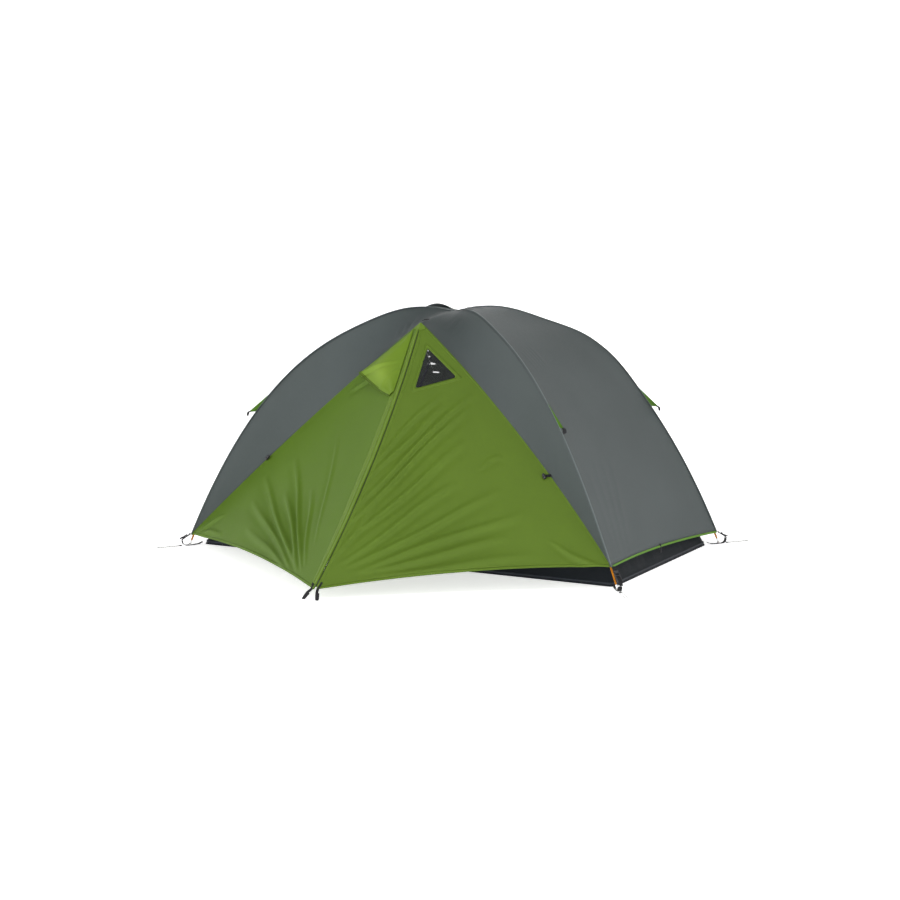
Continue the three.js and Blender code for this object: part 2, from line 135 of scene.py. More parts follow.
# ---- Camera, light and floor ----
def build_stage():
    camera = bpy.data.objects.new("camera", bpy.data.cameras.new("camera"))
    camera.location = (5.501, -10.672, 2.3715)
    camera.rotation_euler = (pi / 2 - 0.1582, 0, 0.4778)
    camera.data.lens = 102.46
    camera.data.clip_end = 200
    bpy.context.collection.objects.link(camera)
    bpy.context.scene.camera = camera
    bpy.context.scene.view_settings.view_transform = "Standard"

    turn = np.linspace(0, 2 * pi, 97)
    bowl = ((0.01, 0), (12, 0), (26, 0), (33, 1.5), (38, 6), (40, 15), (40, 32))
    points = np.array([[(r * cos(a), r * sin(a), z) for a in turn] for r, z in bowl])
    floor = sheet_object("studio_floor", points, points[..., :2], thickness=0)
    floor.location.z = -0.0005
    material, _ = new_material("floor", Base_Color=(0.92, 0.92, 0.92, 1), Roughness=0.9,
                               Emission_Color=(1, 1, 1, 1), Emission_Strength=0.65)
    floor.data.materials.append(material)

    world = bpy.data.worlds.new("studio")
    world.use_nodes = True
    sky = world.node_tree.nodes["Background"].inputs
    sky["Color"].default_value = (1, 1, 1, 1)
    sky["Strength"].default_value = 0.18
    bpy.context.scene.world = world

    for name, place, size, power in (
        ("key", (2.6, -8.2, 1.2), (2.5, 2.5), 165),
        ("left", (-6.5, -5.5, 1.4), (3.0, 3.0), 135),
        ("right", (7.5, 2.0, 1.0), (3.0, 3.0), 8),
        ("back", (-2.0, 8.0, 2.0), (4.0, 4.0), 80),
        ("glint", (1.90, -2.44, 4.13), (2.4, 0.8), 50),
    ):
        light = bpy.data.objects.new(name, bpy.data.lights.new(name, "AREA"))
        light.data.shape = "RECTANGLE"
        light.data.size, light.data.size_y = size
        light.data.energy = power
        light.location = place
        aim = Vector((0, 0, 0.4)) - light.location
        light.rotation_euler = aim.to_track_quat("-Z", "Y").to_euler()
        bpy.context.collection.objects.link(light)


# ---- Mesh helpers ----
def mesh_object(name, points, faces, uv=None, edge=None):
    """Mesh from points and faces. uv and edge hold one (metres, metres) pair for each point."""
    mesh = bpy.data.meshes.new(name)
    mesh.from_pydata(np.asarray(points, float).tolist(), [], [list(map(int, f)) for f in faces])
    corners = np.empty(len(mesh.loops), np.int32)
    mesh.loops.foreach_get("vertex_index", corners)
    for layer_name, values in (("UVMap", uv), ("Seam", edge)):
        if values is not None:
            layer = mesh.uv_layers.new(name=layer_name)
            layer.data.foreach_set("uv", np.asarray(values, np.float32)[corners].ravel())
    mesh.polygons.foreach_set("use_smooth", [True] * len(mesh.polygons))
    mesh.update()
    piece = bpy.data.objects.new(name, mesh)
    bpy.context.collection.objects.link(piece)
    return piece


def grid_faces(rows, columns, closed=False, flip=False):
    across = columns if closed else columns - 1
    r, c = np.meshgrid(np.arange(rows - 1), np.arange(across), indexing="ij")
    a = (r * columns + c).ravel()
    b = (r * columns + (c + 1) % columns).ravel()
    quads = np.stack([a, b, b + columns, a + columns], 1)
    return quads[:, ::-1] if flip else quads


def sheet_object(name, points, uv, thickness=CLOTH, edge=None, keep=None, flip=False):
    """Cloth from a grid of points, thickened evenly. keep says which cells stay."""
    rows, columns = points.shape[:2]
    faces = grid_faces(rows, columns, flip=flip)
    points, uv = points.reshape(-1, 3), uv.reshape(-1, 2)
    edge = None if edge is None else edge.reshape(-1, 2)
    if keep is not None:
        faces = faces[keep.ravel()]
        used, faces = np.unique(faces, return_inverse=True)
        faces = faces.reshape(-1, 4)
        points, uv = points[used], uv[used]
        edge = None if edge is None else edge[used]
    piece = mesh_object(name, points, faces, uv, edge)
    if thickness:
        thicken(piece, thickness)
    return piece


def thicken(piece, thickness):
    solid = piece.modifiers.new("thickness", "SOLIDIFY")
    solid.thickness = thickness
    solid.offset = 0


def lengths(path):
    steps = np.linalg.norm(np.diff(path, axis=0), axis=1)
    return np.concatenate([[0], np.cumsum(steps)])


def smooth_path(points, per=10):
    """Catmull-Rom curve through the points."""
    p = np.asarray(points, float)
    p = np.vstack([2 * p[0] - p[1], p, 2 * p[-1] - p[-2]])
    t = np.linspace(0, 1, per, endpoint=False)[:, None]
    parts = []
    for i in range(1, len(p) - 2):
        a, b, c, d = p[i - 1], p[i], p[i + 1], p[i + 2]
        parts.append(0.5 * (2 * b + (c - a) * t + (2 * a - 5 * b + 4 * c - d) * t**2
                            + (3 * b - a - 3 * c + d) * t**3))
    return np.vstack([*parts, p[-2:-1]])


def frames(path, across=None):
    """Side and normal along a path. The side stays near across, or turns as little as it can."""
    tangent = unit_rows(np.gradient(path, axis=0))
    if across is not None:
        side = np.broadcast_to(np.asarray(across, float), path.shape)
        side = unit_rows(side - tangent * np.sum(side * tangent, 1)[:, None])
    else:
        side = np.empty_like(path)
        last = unit(np.cross(tangent[0], (0.31, 0.2, 1.0)))
        for i, t in enumerate(tangent):
            last = unit(last - t * (last @ t))
            side[i] = last
    return side, np.cross(tangent, side)


def closed_faces(rows, count):
    """Faces between rings of points along a path, with a cap at each end."""
    ring = list(range(count))
    caps = [ring[::-1], [(rows - 1) * count + i for i in ring]]
    return grid_faces(rows, count, closed=True).tolist() + caps


def tube_parts(path, radius, sides):
    """Points, faces and uv of a round tube with closed ends."""
    path = np.asarray(path, float)
    radius = np.broadcast_to(radius, len(path))
    side, up = frames(path)
    angle = np.linspace(0, 2 * pi, sides, endpoint=False)[:, None]
    ring = side[:, None] * np.cos(angle) + up[:, None] * np.sin(angle)
    points = (path[:, None] + ring * radius[:, None, None]).reshape(-1, 3)
    uv = pair(angle[:, 0] * np.max(radius), lengths(path)[:, None]).reshape(-1, 2)
    return points, closed_faces(len(path), sides), uv


def joined_parts(parts):
    """One set of points, faces and uv from several."""
    points, faces, uv, start = [], [], [], 0
    for p, f, w in parts:
        points.append(p)
        uv.append(w)
        faces += [[start + i for i in face] for face in f]
        start += len(p)
    return np.vstack(points), faces, np.vstack(uv)


def tube(name, path, radius, sides):
    return mesh_object(name, *tube_parts(path, radius, sides))


def strip_parts(path, across, width, thickness=0.0016, crown=0.0004):
    """Closed flat band along a path, a little fuller in its middle."""
    path = np.asarray(path, float)
    side, up = frames(path, across)
    c = np.linspace(-0.5, 0.5, 5)
    fullness = thickness / 2 + crown * (1 - (2 * c) ** 2)
    section = np.concatenate([pair(c * width, fullness), pair(c * width, -fullness)[::-1]])
    points = path[:, None] + side[:, None] * section[:, :1] + up[:, None] * section[:, 1:]
    uv = pair(section[:, 0], lengths(path)[:, None]).reshape(-1, 2)
    return points.reshape(-1, 3), closed_faces(len(path), len(section)), uv


def strip(name, path, across, width, **sizes):
    piece = mesh_object(name, *strip_parts(path, across, width, **sizes))
    bevel = piece.modifiers.new("edges", "BEVEL")
    bevel.width = 0.0004
    bevel.segments = 2
    bevel.limit_method = "ANGLE"
    return piece


def turned(points, side):
    """Front points, or the same turned half a turn for the back."""
    return np.asarray(points, float) * np.array([SIDES[side], SIDES[side], 1.0])


def finish_piece(piece, body, slot, material, replaces=()):
    piece.data.materials.append(material)
    if body:
        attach(piece, body)
    if replaces:
        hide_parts(*replaces)
    return piece


def webbing(name, path, across, width, made, replaces=(), **sizes):
    """Flat webbing along a path, on the root."""
    finish_piece(strip(name, path, across, width, **sizes), "root", "webbing", made["webbing"], replaces)


def soft_noise(x, y, seed, scale):
    """Smooth noise from -1 to 1 over the plane, the same each run, in the shape of x."""
    flat = [noise.noise(Vector((a / scale, b / scale, 7.3 * seed))) for a, b in zip(x.ravel(), y.ravel())]
    return np.array(flat).reshape(x.shape)


# ---- Material helpers ----
def new_material(name, **inputs):
    """Material and its node helper. A shader input's name has _ in place of each space."""
    material = bpy.data.materials.new(name)
    material.use_nodes = True
    n = Nodes(material.node_tree)
    for key, value in inputs.items():
        n.shader.inputs[key.replace("_", " ")].default_value = value
    return material, n


class Nodes:
    """Short forms for building a node tree."""

    def __init__(self, tree):
        self.tree = tree
        self.shader = tree.nodes["Principled BSDF"]

    def node(self, kind, **settings):
        n = self.tree.nodes.new(kind)
        for key, value in settings.items():
            setattr(n, key, value)
        return n

    def link(self, a, b):
        self.tree.links.new(a, b)

    def math(self, operation, *values):
        n = self.node("ShaderNodeMath", operation=operation)
        for socket, value in zip(n.inputs, values):
            if isinstance(value, (int, float)):
                socket.default_value = value
            else:
                self.link(value, socket)
        return n.outputs[0]

    def noise(self, scale, detail=2.0, vector=None, roughness=0.5):
        n = self.node("ShaderNodeTexNoise")
        n.inputs["Scale"].default_value = scale
        n.inputs["Detail"].default_value = detail
        n.inputs["Roughness"].default_value = roughness
        self.link(vector or self.node("ShaderNodeTexCoord").outputs["Object"], n.inputs["Vector"])
        return n.outputs["Fac"]

    def uv(self, name="UVMap"):
        """The two sockets of a uv layer."""
        n = self.node("ShaderNodeSeparateXYZ")
        self.link(self.node("ShaderNodeUVMap", uv_map=name).outputs["UV"], n.inputs[0])
        return n.outputs[0], n.outputs[1]

    def ramp(self, value, *stops):
        n = self.node("ShaderNodeValToRGB")
        elements = n.color_ramp.elements
        while len(elements) < len(stops):
            elements.new(0.5)
        for element, (place, colour) in zip(elements, stops):
            element.position = place
            element.color = (*colour, 1)
        self.link(value, n.inputs["Fac"])
        return n.outputs["Color"]

    def tones(self, value, colour, *stops):
        """Ramp over tones of one colour: a stop is its place and the colour's factor there."""
        return self.ramp(value, *((place, tinted(colour, factor)) for place, factor in stops))

    def mix(self, factor, under, colour):
        """A plain colour over a socket, by the factor."""
        n = self.node("ShaderNodeMix", data_type="RGBA")
        share, a, b = [s for s in n.inputs if s.enabled]
        self.link(factor, share)
        self.link(under, a)
        b.default_value = (*colour, 1)
        return [s for s in n.outputs if s.enabled][0]

    def bump(self, height, strength, distance):
        n = self.node("ShaderNodeBump")
        n.inputs["Strength"].default_value = strength
        n.inputs["Distance"].default_value = distance
        self.link(height, n.inputs["Height"])
        return n.outputs["Normal"]

    def look(self, **sockets):
        """Links outputs to the shader's inputs, named as in new_material."""
        for key, output in sockets.items():
            self.link(output, self.shader.inputs[key.replace("_", " ")])


def linear(r, g, b):
    """Linear colour of an sRGB colour given from 0 to 255."""
    return tuple((c / 255 / 12.92) if c < 10 else ((c / 255 + 0.055) / 1.055) ** 2.4 for c in (r, g, b))


def tinted(colour, factor):
    return tuple(min(1.0, c * factor) for c in colour)


def weave_height(n, thread):
    """Height of a plain weave with the given thread spacing."""
    return n.math("MULTIPLY", *(n.math("SINE", n.math("MULTIPLY", run, 2 * pi / thread)) for run in n.uv()))


def stitch_mask(n, lines, width):
    """1 on the stitches, which run along the seam at the given distances from it."""
    run, away = n.uv("Seam")
    dash = n.math("LESS_THAN", n.math("FRACT", n.math("DIVIDE", run, STITCH_PITCH)), STITCH_SHARE)
    total = None
    for distance in lines:
        near = n.math("LESS_THAN", n.math("ABSOLUTE", n.math("SUBTRACT", away, distance)), width)
        total = near if total is None else n.math("MAXIMUM", total, near)
    return n.math("MULTIPLY", total, dash)


def cloth_material(name, colour, roughness=0.58, thread=0.0009, sheen=0.06, stitches=(), thread_colour=None,
                   painted_light=None, line=0.0007):
    """Coated tent cloth: weave, slow and fine variation of its colour, topstitching, and an optional painted
    light mixed in by the Seam uv.
    """
    material, n = new_material(name, Sheen_Weight=sheen, Sheen_Roughness=0.4,
                               Sheen_Tint=(*tinted(colour, 2.0), 1), Specular_IOR_Level=0.18)
    slow = n.noise(1.7, 3, roughness=0.6)
    fine = n.noise(60, 4, roughness=0.7)
    fleck = n.noise(900, 1)
    tone = n.math("ADD", n.math("MULTIPLY", slow, 0.6), n.math("MULTIPLY", fine, 0.25))
    tone = n.math("ADD", tone, n.math("MULTIPLY", fleck, 0.15))
    base = n.tones(tone, colour, (0.30, 0.90), (0.70, 1.10))
    # Painted light: a lighter colour mixed in where the Seam uv's first value says, standing in for light
    # shining through the cloth.
    if painted_light is not None:
        base = n.mix(n.uv("Seam")[0], base, painted_light)
    height = n.math("ADD", n.math("MULTIPLY", weave_height(n, thread), 0.25), n.math("MULTIPLY", fine, 0.5))
    if stitches:
        mask = stitch_mask(n, stitches, line)
        base = n.mix(mask, base, thread_colour or tinted(colour, 0.55))
        height = n.math("ADD", height, n.math("MULTIPLY", mask, 1.5))
    n.look(Base_Color=base, Normal=n.bump(height, 0.35, 0.0004),
           Roughness=n.math("MULTIPLY_ADD", fine, 0.16, roughness - 0.08))
    return material


def webbing_material(name, colour, pitch=0.0016):
    """Woven tape: herringbone ribs across and dulled fibres."""
    material, n = new_material(name, Sheen_Weight=0.04, Specular_IOR_Level=0.2)
    x, y = n.uv()
    slanted = n.math("ADD", y, n.math("PINGPONG", x, 0.0035))
    ribs = n.math("SINE", n.math("MULTIPLY", slanted, 2 * pi / pitch))
    fuzz = n.noise(700, 3)
    tone = n.math("ADD", n.math("MULTIPLY", ribs, 0.18), n.math("MULTIPLY", fuzz, 0.8))
    n.look(Base_Color=n.tones(tone, colour, (0.2, 0.6), (0.75, 1.6)),
           Normal=n.bump(n.math("ADD", ribs, fuzz), 0.6, 0.0004),
           Roughness=n.math("MULTIPLY_ADD", fuzz, 0.2, 0.62))
    return material


def plastic_material(name, colour):
    """Moulded nylon: fine spark texture, scuffed lighter in places."""
    material, n = new_material(name, Specular_IOR_Level=0.45)
    scuff = n.noise(70, 5, roughness=0.7)
    n.look(Base_Color=n.tones(scuff, colour, (0.35, 1.0), (0.8, 2.0)),
           Normal=n.bump(n.noise(1400, 2), 0.3, 0.0003),
           Roughness=n.math("MULTIPLY_ADD", scuff, 0.25, 0.32))
    return material


def metal_material(name, colour, roughness):
    """Drawn and anodised tube: fine lengthwise lines and slightly uneven colour."""
    material, n = new_material(name, Metallic=0.9)
    x, y = n.uv()
    lines = n.node("ShaderNodeCombineXYZ")
    n.link(n.math("MULTIPLY", x, 60), lines.inputs[0])
    n.link(y, lines.inputs[1])
    drawn = n.noise(25, 3, vector=lines.outputs[0])
    n.look(Base_Color=n.tones(n.noise(25, 4), colour, (0.3, 0.86), (0.75, 1.12)),
           Normal=n.bump(drawn, 0.15, 0.0002),
           Roughness=n.math("MULTIPLY_ADD", drawn, 0.2, roughness - 0.1))
    return material


def cord_material(name, colour, fleck):
    """Braided cord: two crossing helices of strands, drawn darker between the strands as painted shade, with
    the fleck colour on their crests.
    """
    material, n = new_material(name, Roughness=0.75, Sheen_Weight=0.2)
    x, y = n.uv()
    turn = n.math("MULTIPLY", x, 3 / CORD_RADIUS)
    rise = n.math("MULTIPLY", y, 2 * pi / 0.003)
    braid = n.math("MAXIMUM", *(n.math("SINE", n.math(way, turn, rise)) for way in ("ADD", "SUBTRACT")))
    # Painted shade: half the colour between the strands, where the braid is lowest.
    n.look(Base_Color=n.ramp(braid, (0.1, tinted(colour, 0.5)), (0.7, colour), (0.97, fleck)),
           Normal=n.bump(braid, 0.7, 0.0004))
    return material


def mesh_material(name, colour):
    """No-see-um netting: thin yarns with open cells between them."""
    material, n = new_material(name, Roughness=0.7)
    gap_x, gap_y = (n.math("GREATER_THAN", n.math("FRACT", n.math("DIVIDE", run, NET_PITCH)), NET_YARN)
                    for run in n.uv())
    n.look(Alpha=n.math("SUBTRACT", 1.0, n.math("MULTIPLY", gap_x, gap_y)),
           Base_Color=n.tones(n.noise(40, 3), colour, (0.3, 0.85), (0.7, 1.2)))
    return material


def film_material(name):
    """Window film with a hard gloss, drawn dark and opaque: partly the dark net behind it, partly painted
    shade of the tent's inside seen through the clear film.
    """
    material, n = new_material(name, Specular_IOR_Level=0.8, Coat_Weight=0.9, Coat_Roughness=0.04)
    haze = n.noise(30, 4)
    # Painted shade: the near-black base colour stands in for the net and the shaded inside behind the clear
    # film.
    n.look(Base_Color=n.ramp(haze, (0.3, (0.007, 0.009, 0.008)), (0.8, (0.014, 0.017, 0.015))),
           Roughness=n.math("MULTIPLY_ADD", haze, 0.06, 0.05))
    return material


GREY = linear(68, 74, 74)
GREEN = linear(80, 103, 29)
# SHADED_GREEN is a slightly darker copy of the door green: painted shade on the vent half and its tapes.
SHADED_GREEN = linear(77, 103, 26)
# HOOD_GREEN is lighter than the door greens: painted light, standing in for light shining through the hood's
# cloth.
HOOD_GREEN = linear(92, 118, 30)
BRIGHT_GREEN = linear(88, 132, 34)


def build_materials():
    doubled = {"stitches": (0.002, 0.010), "thread": 0.0012}
    return {
        "fly": cloth_material("fly_cloth", GREY),
        # The pole seam tape is drawn a little lighter and its piping much lighter than the fly: painted
        # highlight along the pole seams.
        "seam": cloth_material("fly_seam_tape", tinted(GREY, 1.25), stitches=(0.0035,), thread=0.0012),
        "piping_highlight": cloth_material("seam_piping_painted_highlight", tinted(GREY, 2.3), thread=0.0012, roughness=0.45),
        "door": cloth_material("door_cloth", GREEN),
        "vent_door": cloth_material("vent_door_cloth", SHADED_GREEN),
        "door_tape": cloth_material("door_tape", tinted(GREEN, 1.1), **doubled),
        "vent_tape": cloth_material("vent_tape", tinted(SHADED_GREEN, 1.1), **doubled),
        # The flap is a lighter copy of the door green, painted light on its raised band, and its wide dark
        # line by the sewn edge is a painted shadow along that edge, drawn as stitches.
        "flap": cloth_material("storm_flap_cloth", tinted(GREEN, 1.24), stitches=(0.0312,), line=0.0022,
                               thread_colour=tinted(GREEN, 0.42)),
        # The hood's lighter green and the painted light in its middle stand in for light shining through it.
        "hood": cloth_material("hood_cloth", HOOD_GREEN, painted_light=linear(118, 142, 50)),
        "rim": cloth_material("hood_rim_tape", tinted(HOOD_GREEN, 0.55), thread=0.0014),
        "piping": cloth_material("hem_piping", BRIGHT_GREEN, thread=0.0014, stitches=(0.003,)),
        # The fin is a darker copy of the bright hem green: painted shade, for fins seen on their shaded side.
        "fin": cloth_material("guy_fin_cloth_painted_shade", tinted(BRIGHT_GREEN, 0.55), thread=0.0012, stitches=(0.004,)),
        "tub": cloth_material("tub_cloth", linear(14, 19, 24), roughness=0.72, sheen=0.0, thread=0.0014),
        "tub_tape": cloth_material("tub_tape", linear(36, 40, 46), roughness=0.55, stitches=(0.004,)),
        "inner": cloth_material("inner_cloth", linear(150, 156, 156), roughness=0.75, sheen=0.2),
        "inner_border": cloth_material("inner_door_border", linear(96, 102, 104), stitches=(0.003,)),
        "net": mesh_material("netting", (0.020, 0.021, 0.020)),
        "net_edge": webbing_material("net_edge_tape", (0.010, 0.010, 0.016)),
        "film": film_material("window_film"),
        "pole": metal_material("orange_pole", linear(160, 98, 12), 0.40),
        "steel": metal_material("bare_aluminium", (0.72, 0.72, 0.72), 0.28),
        "webbing": webbing_material("black_webbing", (0.014, 0.014, 0.016)),
        "zip": webbing_material("zip_tape", (0.008, 0.008, 0.010), 0.0020),
        "plastic": plastic_material("black_plastic", (0.016, 0.016, 0.018)),
        "cord": cord_material("guy_cord", linear(150, 150, 150), linear(235, 235, 230)),
    }


# ---- The arches ----
def half_width(s):
    """Distance of an arch from the tent's long middle plane."""
    return FOOT_Y * s + PLAN_BOW * arc(s)


def seam(end, side, s):
    """Fly seam over a pole: end and side are -1 or 1, and s runs from 0 at the crossing to 1 at the foot."""
    s = np.asarray(s, float)
    return np.stack([end * FOOT_X * s, side * half_width(s), CROWN * (1 - s**ARCH_POWER)], -1)


def seam_normal(end, side, s):
    """Direction square to the arch, out of the tent."""
    along = seam(end, side, np.minimum(s + STEP, 1)) - seam(end, side, np.maximum(s - STEP, 0))
    outward = unit(np.array([end * FOOT_X, side * FOOT_Y, 0]))
    lean = outward * -along[..., 2:]
    lean[..., 2] = along @ outward
    return unit_rows(lean)


def fly_seam(end, side, s):
    """The cloth's own seam, which rides up beyond the crossing and stands off at the back right shoulder."""
    points = seam(end, side, s)
    s = np.asarray(s, float)
    rise = HUMP[end, side] * np.exp(-(((s - 0.15) / 0.14) ** 2))
    points[..., 2] += rise * np.minimum(1, s / 0.06)
    if end > 0 and side > 0:
        slack = SHOULDER * np.exp(-(np.abs((s - 0.50) / 0.15) ** 2.4))
        points += slack[..., None] * np.array([0.45, 0.15, 0.85])
    return points


def pole_centre(end, side, s, drop):
    """The pole under that seam. It passes lower where the poles cross."""
    crossing = drop * np.exp(-((s / 0.12) ** 2))
    shift = np.array([0, -side * POLE_SHIFT * min(1, s / 0.1), -crossing])
    return seam(end, side, s) - POLE_INSET * seam_normal(end, side, s) + shift


def inner_seam(end, side, s):
    s = np.asarray(s, float)
    y = INNER_Y * s + 0.9 * PLAN_BOW * arc(s)
    return np.stack([end * INNER_X * s, side * y, INNER_CROWN * (1 - s**ARCH_POWER)], -1)


def corner_place(end, side):
    """Share along the arch where the fly's corner ends."""
    return WINDOW_CORNER if end * side < 0 else VENT_CORNER


def end_hem(end, t):
    """Share along the arches at which an end's hem lies, for t from the front corner to the back one."""
    return mix(corner_place(end, -1), corner_place(end, 1), t) - END_HEM_LIFT * arc(t)


# ---- Door halves ----
class Door:
    """One door half, a sheet stretched from the zip (u = 0) to its curved seam (u = 1), t from apex to hem.

    Door coordinates are x down the straight zip line, y away from it and h out of the cloth.
    """

    def __init__(self, end, place, edge, creases, seed):
        self.end, self.edge, self.creases, self.seed = end, edge, creases, seed
        self.corner = seam(end, -1, place)
        self.length = np.linalg.norm(TIP - APEX)
        self.down = (TIP - APEX) / self.length
        reach = self.corner - APEX
        self.cx = reach @ self.down
        away = reach - self.down * self.cx
        self.cy = np.linalg.norm(away)
        self.away = away / self.cy
        out = np.cross(self.down, self.away)
        self.out = out * np.sign(out[2])
        self.bow = SEAM_BOW * np.array([end, 1, 1])

    def zip_line(self, t):
        t = np.asarray(t, float)[..., None]
        return APEX + self.down * self.length * t + ZIP_PULL * arc(t)

    def seam_line(self, t):
        t = np.asarray(t, float)[..., None]
        return APEX + (self.corner - APEX) * t + self.bow * arc(t)

    def width(self, t):
        return np.linalg.norm(self.seam_line(t) - self.zip_line(t), axis=-1)

    def base(self, t, u):
        u = np.asarray(u, float)[..., None]
        return mix(self.zip_line(t), self.seam_line(t), u)

    def flat(self, t, u):
        p = self.base(t, u) - APEX
        return p @ self.down, p @ self.away

    def locate(self, x, y):
        """t and u of door coordinates."""
        x, y = np.asarray(x, float), np.asarray(y, float)
        t = np.maximum((x + (self.length - self.cx) * y / self.cy) / self.length, 1e-4)
        for _ in range(25):
            zip_x, zip_y = self.flat(t, np.zeros_like(t))
            seam_x, seam_y = self.flat(t, np.ones_like(t))
            u = (y - zip_y) / np.maximum(seam_y - zip_y, 1e-6)
            t = np.maximum(t + (x - mix(zip_x, seam_x, u)) / self.length, 1e-4)
        return t, u

    def relief(self, x, y):
        """Height of the creases and of the cloth's slight unevenness."""
        height = np.zeros_like(x)
        for x0, y0, angle, start, end, rise, half in self.creases:
            a = radians(angle)
            dx, dy = x - x0, y - y0
            along = -dx * cos(a) + dy * sin(a)
            off = dx * sin(a) + dy * cos(a)
            t = np.clip((along - start) / (end - start), 0, 1)
            fade = np.sin(pi * t) ** 0.8
            spread = half * (0.65 + 0.7 * t)
            wander = off + 0.006 * np.sin(7 * t + 9 * angle)
            ridge = np.exp(-((wander / spread) ** 2))
            hollow = np.exp(-(((wander - 1.9 * spread) / (1.5 * spread)) ** 2))
            height += rise * fade * (ridge - 0.55 * hollow)
        return CREASE_GAIN * height + 0.0016 * soft_noise(x, y, self.seed, 0.16)

    def normal(self, t, u):
        dt = self.base(t + STEP, u) - self.base(t - STEP, u)
        du = self.base(t, u + STEP) - self.base(t, u - STEP)
        n = unit_rows(np.cross(dt, du))
        return n * np.sign(n @ self.out)[..., None]

    def point(self, t, u, h=0.0):
        x, y = self.flat(t, u)
        lift = self.relief(x, y) + np.asarray(h)
        return self.base(t, u) + self.normal(t, u) * np.asarray(lift)[..., None]

    def at(self, x, y, h=0.0):
        return self.point(*self.locate(x, y), h)

    def beside_zip(self, t, distance, h=0.0):
        """Point at a distance from the zip line as it really runs."""
        return self.point(t, distance / np.maximum(self.width(t), 0.02), h)

    def hem(self, t, u):
        return t * (1 - HEM_LIFT * arc(u))


def blend_door(piece, door, side):
    """Works out the band where the seam side of the cloth would stay with the tent and the rest swing with
    the door, but only bakes the piece's transform into its mesh.
    """
    middle = (APEX + door.corner) / 2
    chord = unit(door.corner - APEX)
    inward = unit((TIP - APEX) - chord * ((TIP - APEX) @ chord))
    start = turned(middle - 0.004 * inward, side)
    end = turned(middle + 0.030 * inward, side)
    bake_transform(piece)


def rounded_triangle(corners, radius, inset=0.0):
    """Outline of a triangle with rounded corners, moved in from its sides by the inset."""
    corners = np.asarray(corners, float)
    centre = corners.mean(0)
    moved = [corner + unit(centre - corner) * 2.2 * inset for corner in corners]
    t = np.linspace(0, 1, 8)[:, None]
    outline = []
    for i, tip in enumerate(moved):
        following = (i + 1) % 3
        before, after = unit(corners[i - 1] - corners[i]), unit(corners[following] - corners[i])
        a, b = tip + before * radius, tip + after * radius
        outline.append((1 - t) ** 2 * a + 2 * t * (1 - t) * tip + t**2 * b)
        outline.append(mix(b, moved[following] - after * radius, np.linspace(0, 1, 14)[1:-1, None]))
    return np.vstack(outline)


def inside(outline, x, y):
    """Which points lie in a convex outline."""
    following = np.roll(outline, -1, axis=0)
    sign = np.zeros((len(outline), *x.shape))
    for i, (a, b) in enumerate(zip(outline, following)):
        sign[i] = (b[0] - a[0]) * (y - a[1]) - (b[1] - a[1]) * (x - a[0])
    return np.all(sign > -1e-12, 0) | np.all(sign < 1e-12, 0)


def snap_to_outline(outline, x, y, near):
    """Moves the flagged points to the closest place on the outline."""
    points = np.stack([x[near], y[near]], 1)
    best = np.full(len(points), np.inf)
    moved = points.copy()
    for a, b in zip(outline, np.roll(outline, -1, axis=0)):
        d = b - a
        t = np.clip(((points - a) @ d) / (d @ d), 0, 1)
        place = a + t[:, None] * d
        distance = np.linalg.norm(points - place, axis=1)
        closer = distance < best
        best[closer], moved[closer] = distance[closer], place[closer]
    x[near], y[near] = moved[:, 0], moved[:, 1]


# Creases: a place (down the zip, away from it), the angle off the zip's upward direction, where along that
# line the crease starts and ends, its height and its half width.
WINDOW_CREASES = (
    (0.850, 0.010, 20, 0.05, 0.56, 0.0026, 0.009),
    (0.960, 0.010, 21, 0.08, 0.62, 0.0030, 0.010),
    (1.075, 0.010, 22, 0.05, 0.86, 0.0038, 0.011),
    (1.170, 0.010, 22, 0.06, 0.90, 0.0040, 0.011),
    (1.300, 0.010, 26, 0.10, 0.86, 0.0042, 0.012),
    (1.410, 0.010, 31, 0.10, 0.78, 0.0038, 0.012),
    (1.420, 0.020, 40, 0.12, 0.92, 0.0034, 0.013),
    (1.430, 0.020, 48, 0.14, 0.98, 0.0034, 0.014),
    (1.430, 0.020, 54, 0.16, 0.86, 0.0028, 0.014),
    (1.430, 0.020, 61, 0.20, 0.96, 0.0024, 0.016),
    (1.400, 0.012, 12, 0.06, 0.46, 0.0020, 0.010),
    (0.700, 0.440, 36, 0.06, 0.20, 0.0016, 0.009),
    (0.960, 1.120, 70, -0.30, 0.02, 0.0030, 0.013),
    (0.935, 1.140, 100, -0.26, 0.02, 0.0022, 0.012),
)
VENT_CREASES = (
    (1.400, 0.150, 55, 0.12, 0.76, 0.0036, 0.013),
    (1.400, 0.150, 48, 0.09, 0.90, 0.0044, 0.012),
    (1.400, 0.150, 42, 0.08, 0.98, 0.0054, 0.013),
    (1.400, 0.140, 36, 0.08, 0.74, 0.0048, 0.011),
    (1.400, 0.130, 31, 0.07, 0.92, 0.0052, 0.012),
    (1.400, 0.120, 24, 0.08, 0.62, 0.0032, 0.010),
    (1.400, 0.100, 15, 0.20, 0.90, 0.0018, 0.010),
    (0.905, 1.200, 78, -0.24, 0.02, 0.0034, 0.013),
    (0.890, 1.200, 104, -0.20, 0.02, 0.0024, 0.012),
    (0.252, 0.180, 99, -0.02, 0.19, 0.0030, 0.009),
)

window_reach = seam(1, -1, WINDOW_CORNER) - APEX
ZIP_DOWN = unit(TIP - APEX)
ZIP_PULL = ZIP_BOW * unit(window_reach - ZIP_DOWN * (window_reach @ ZIP_DOWN))
WINDOW_DOOR = Door(1, WINDOW_CORNER, ZIP_WINDOW_EDGE, WINDOW_CREASES, 1)
VENT_DOOR = Door(-1, VENT_CORNER, ZIP_VENT_EDGE, VENT_CREASES, 2)


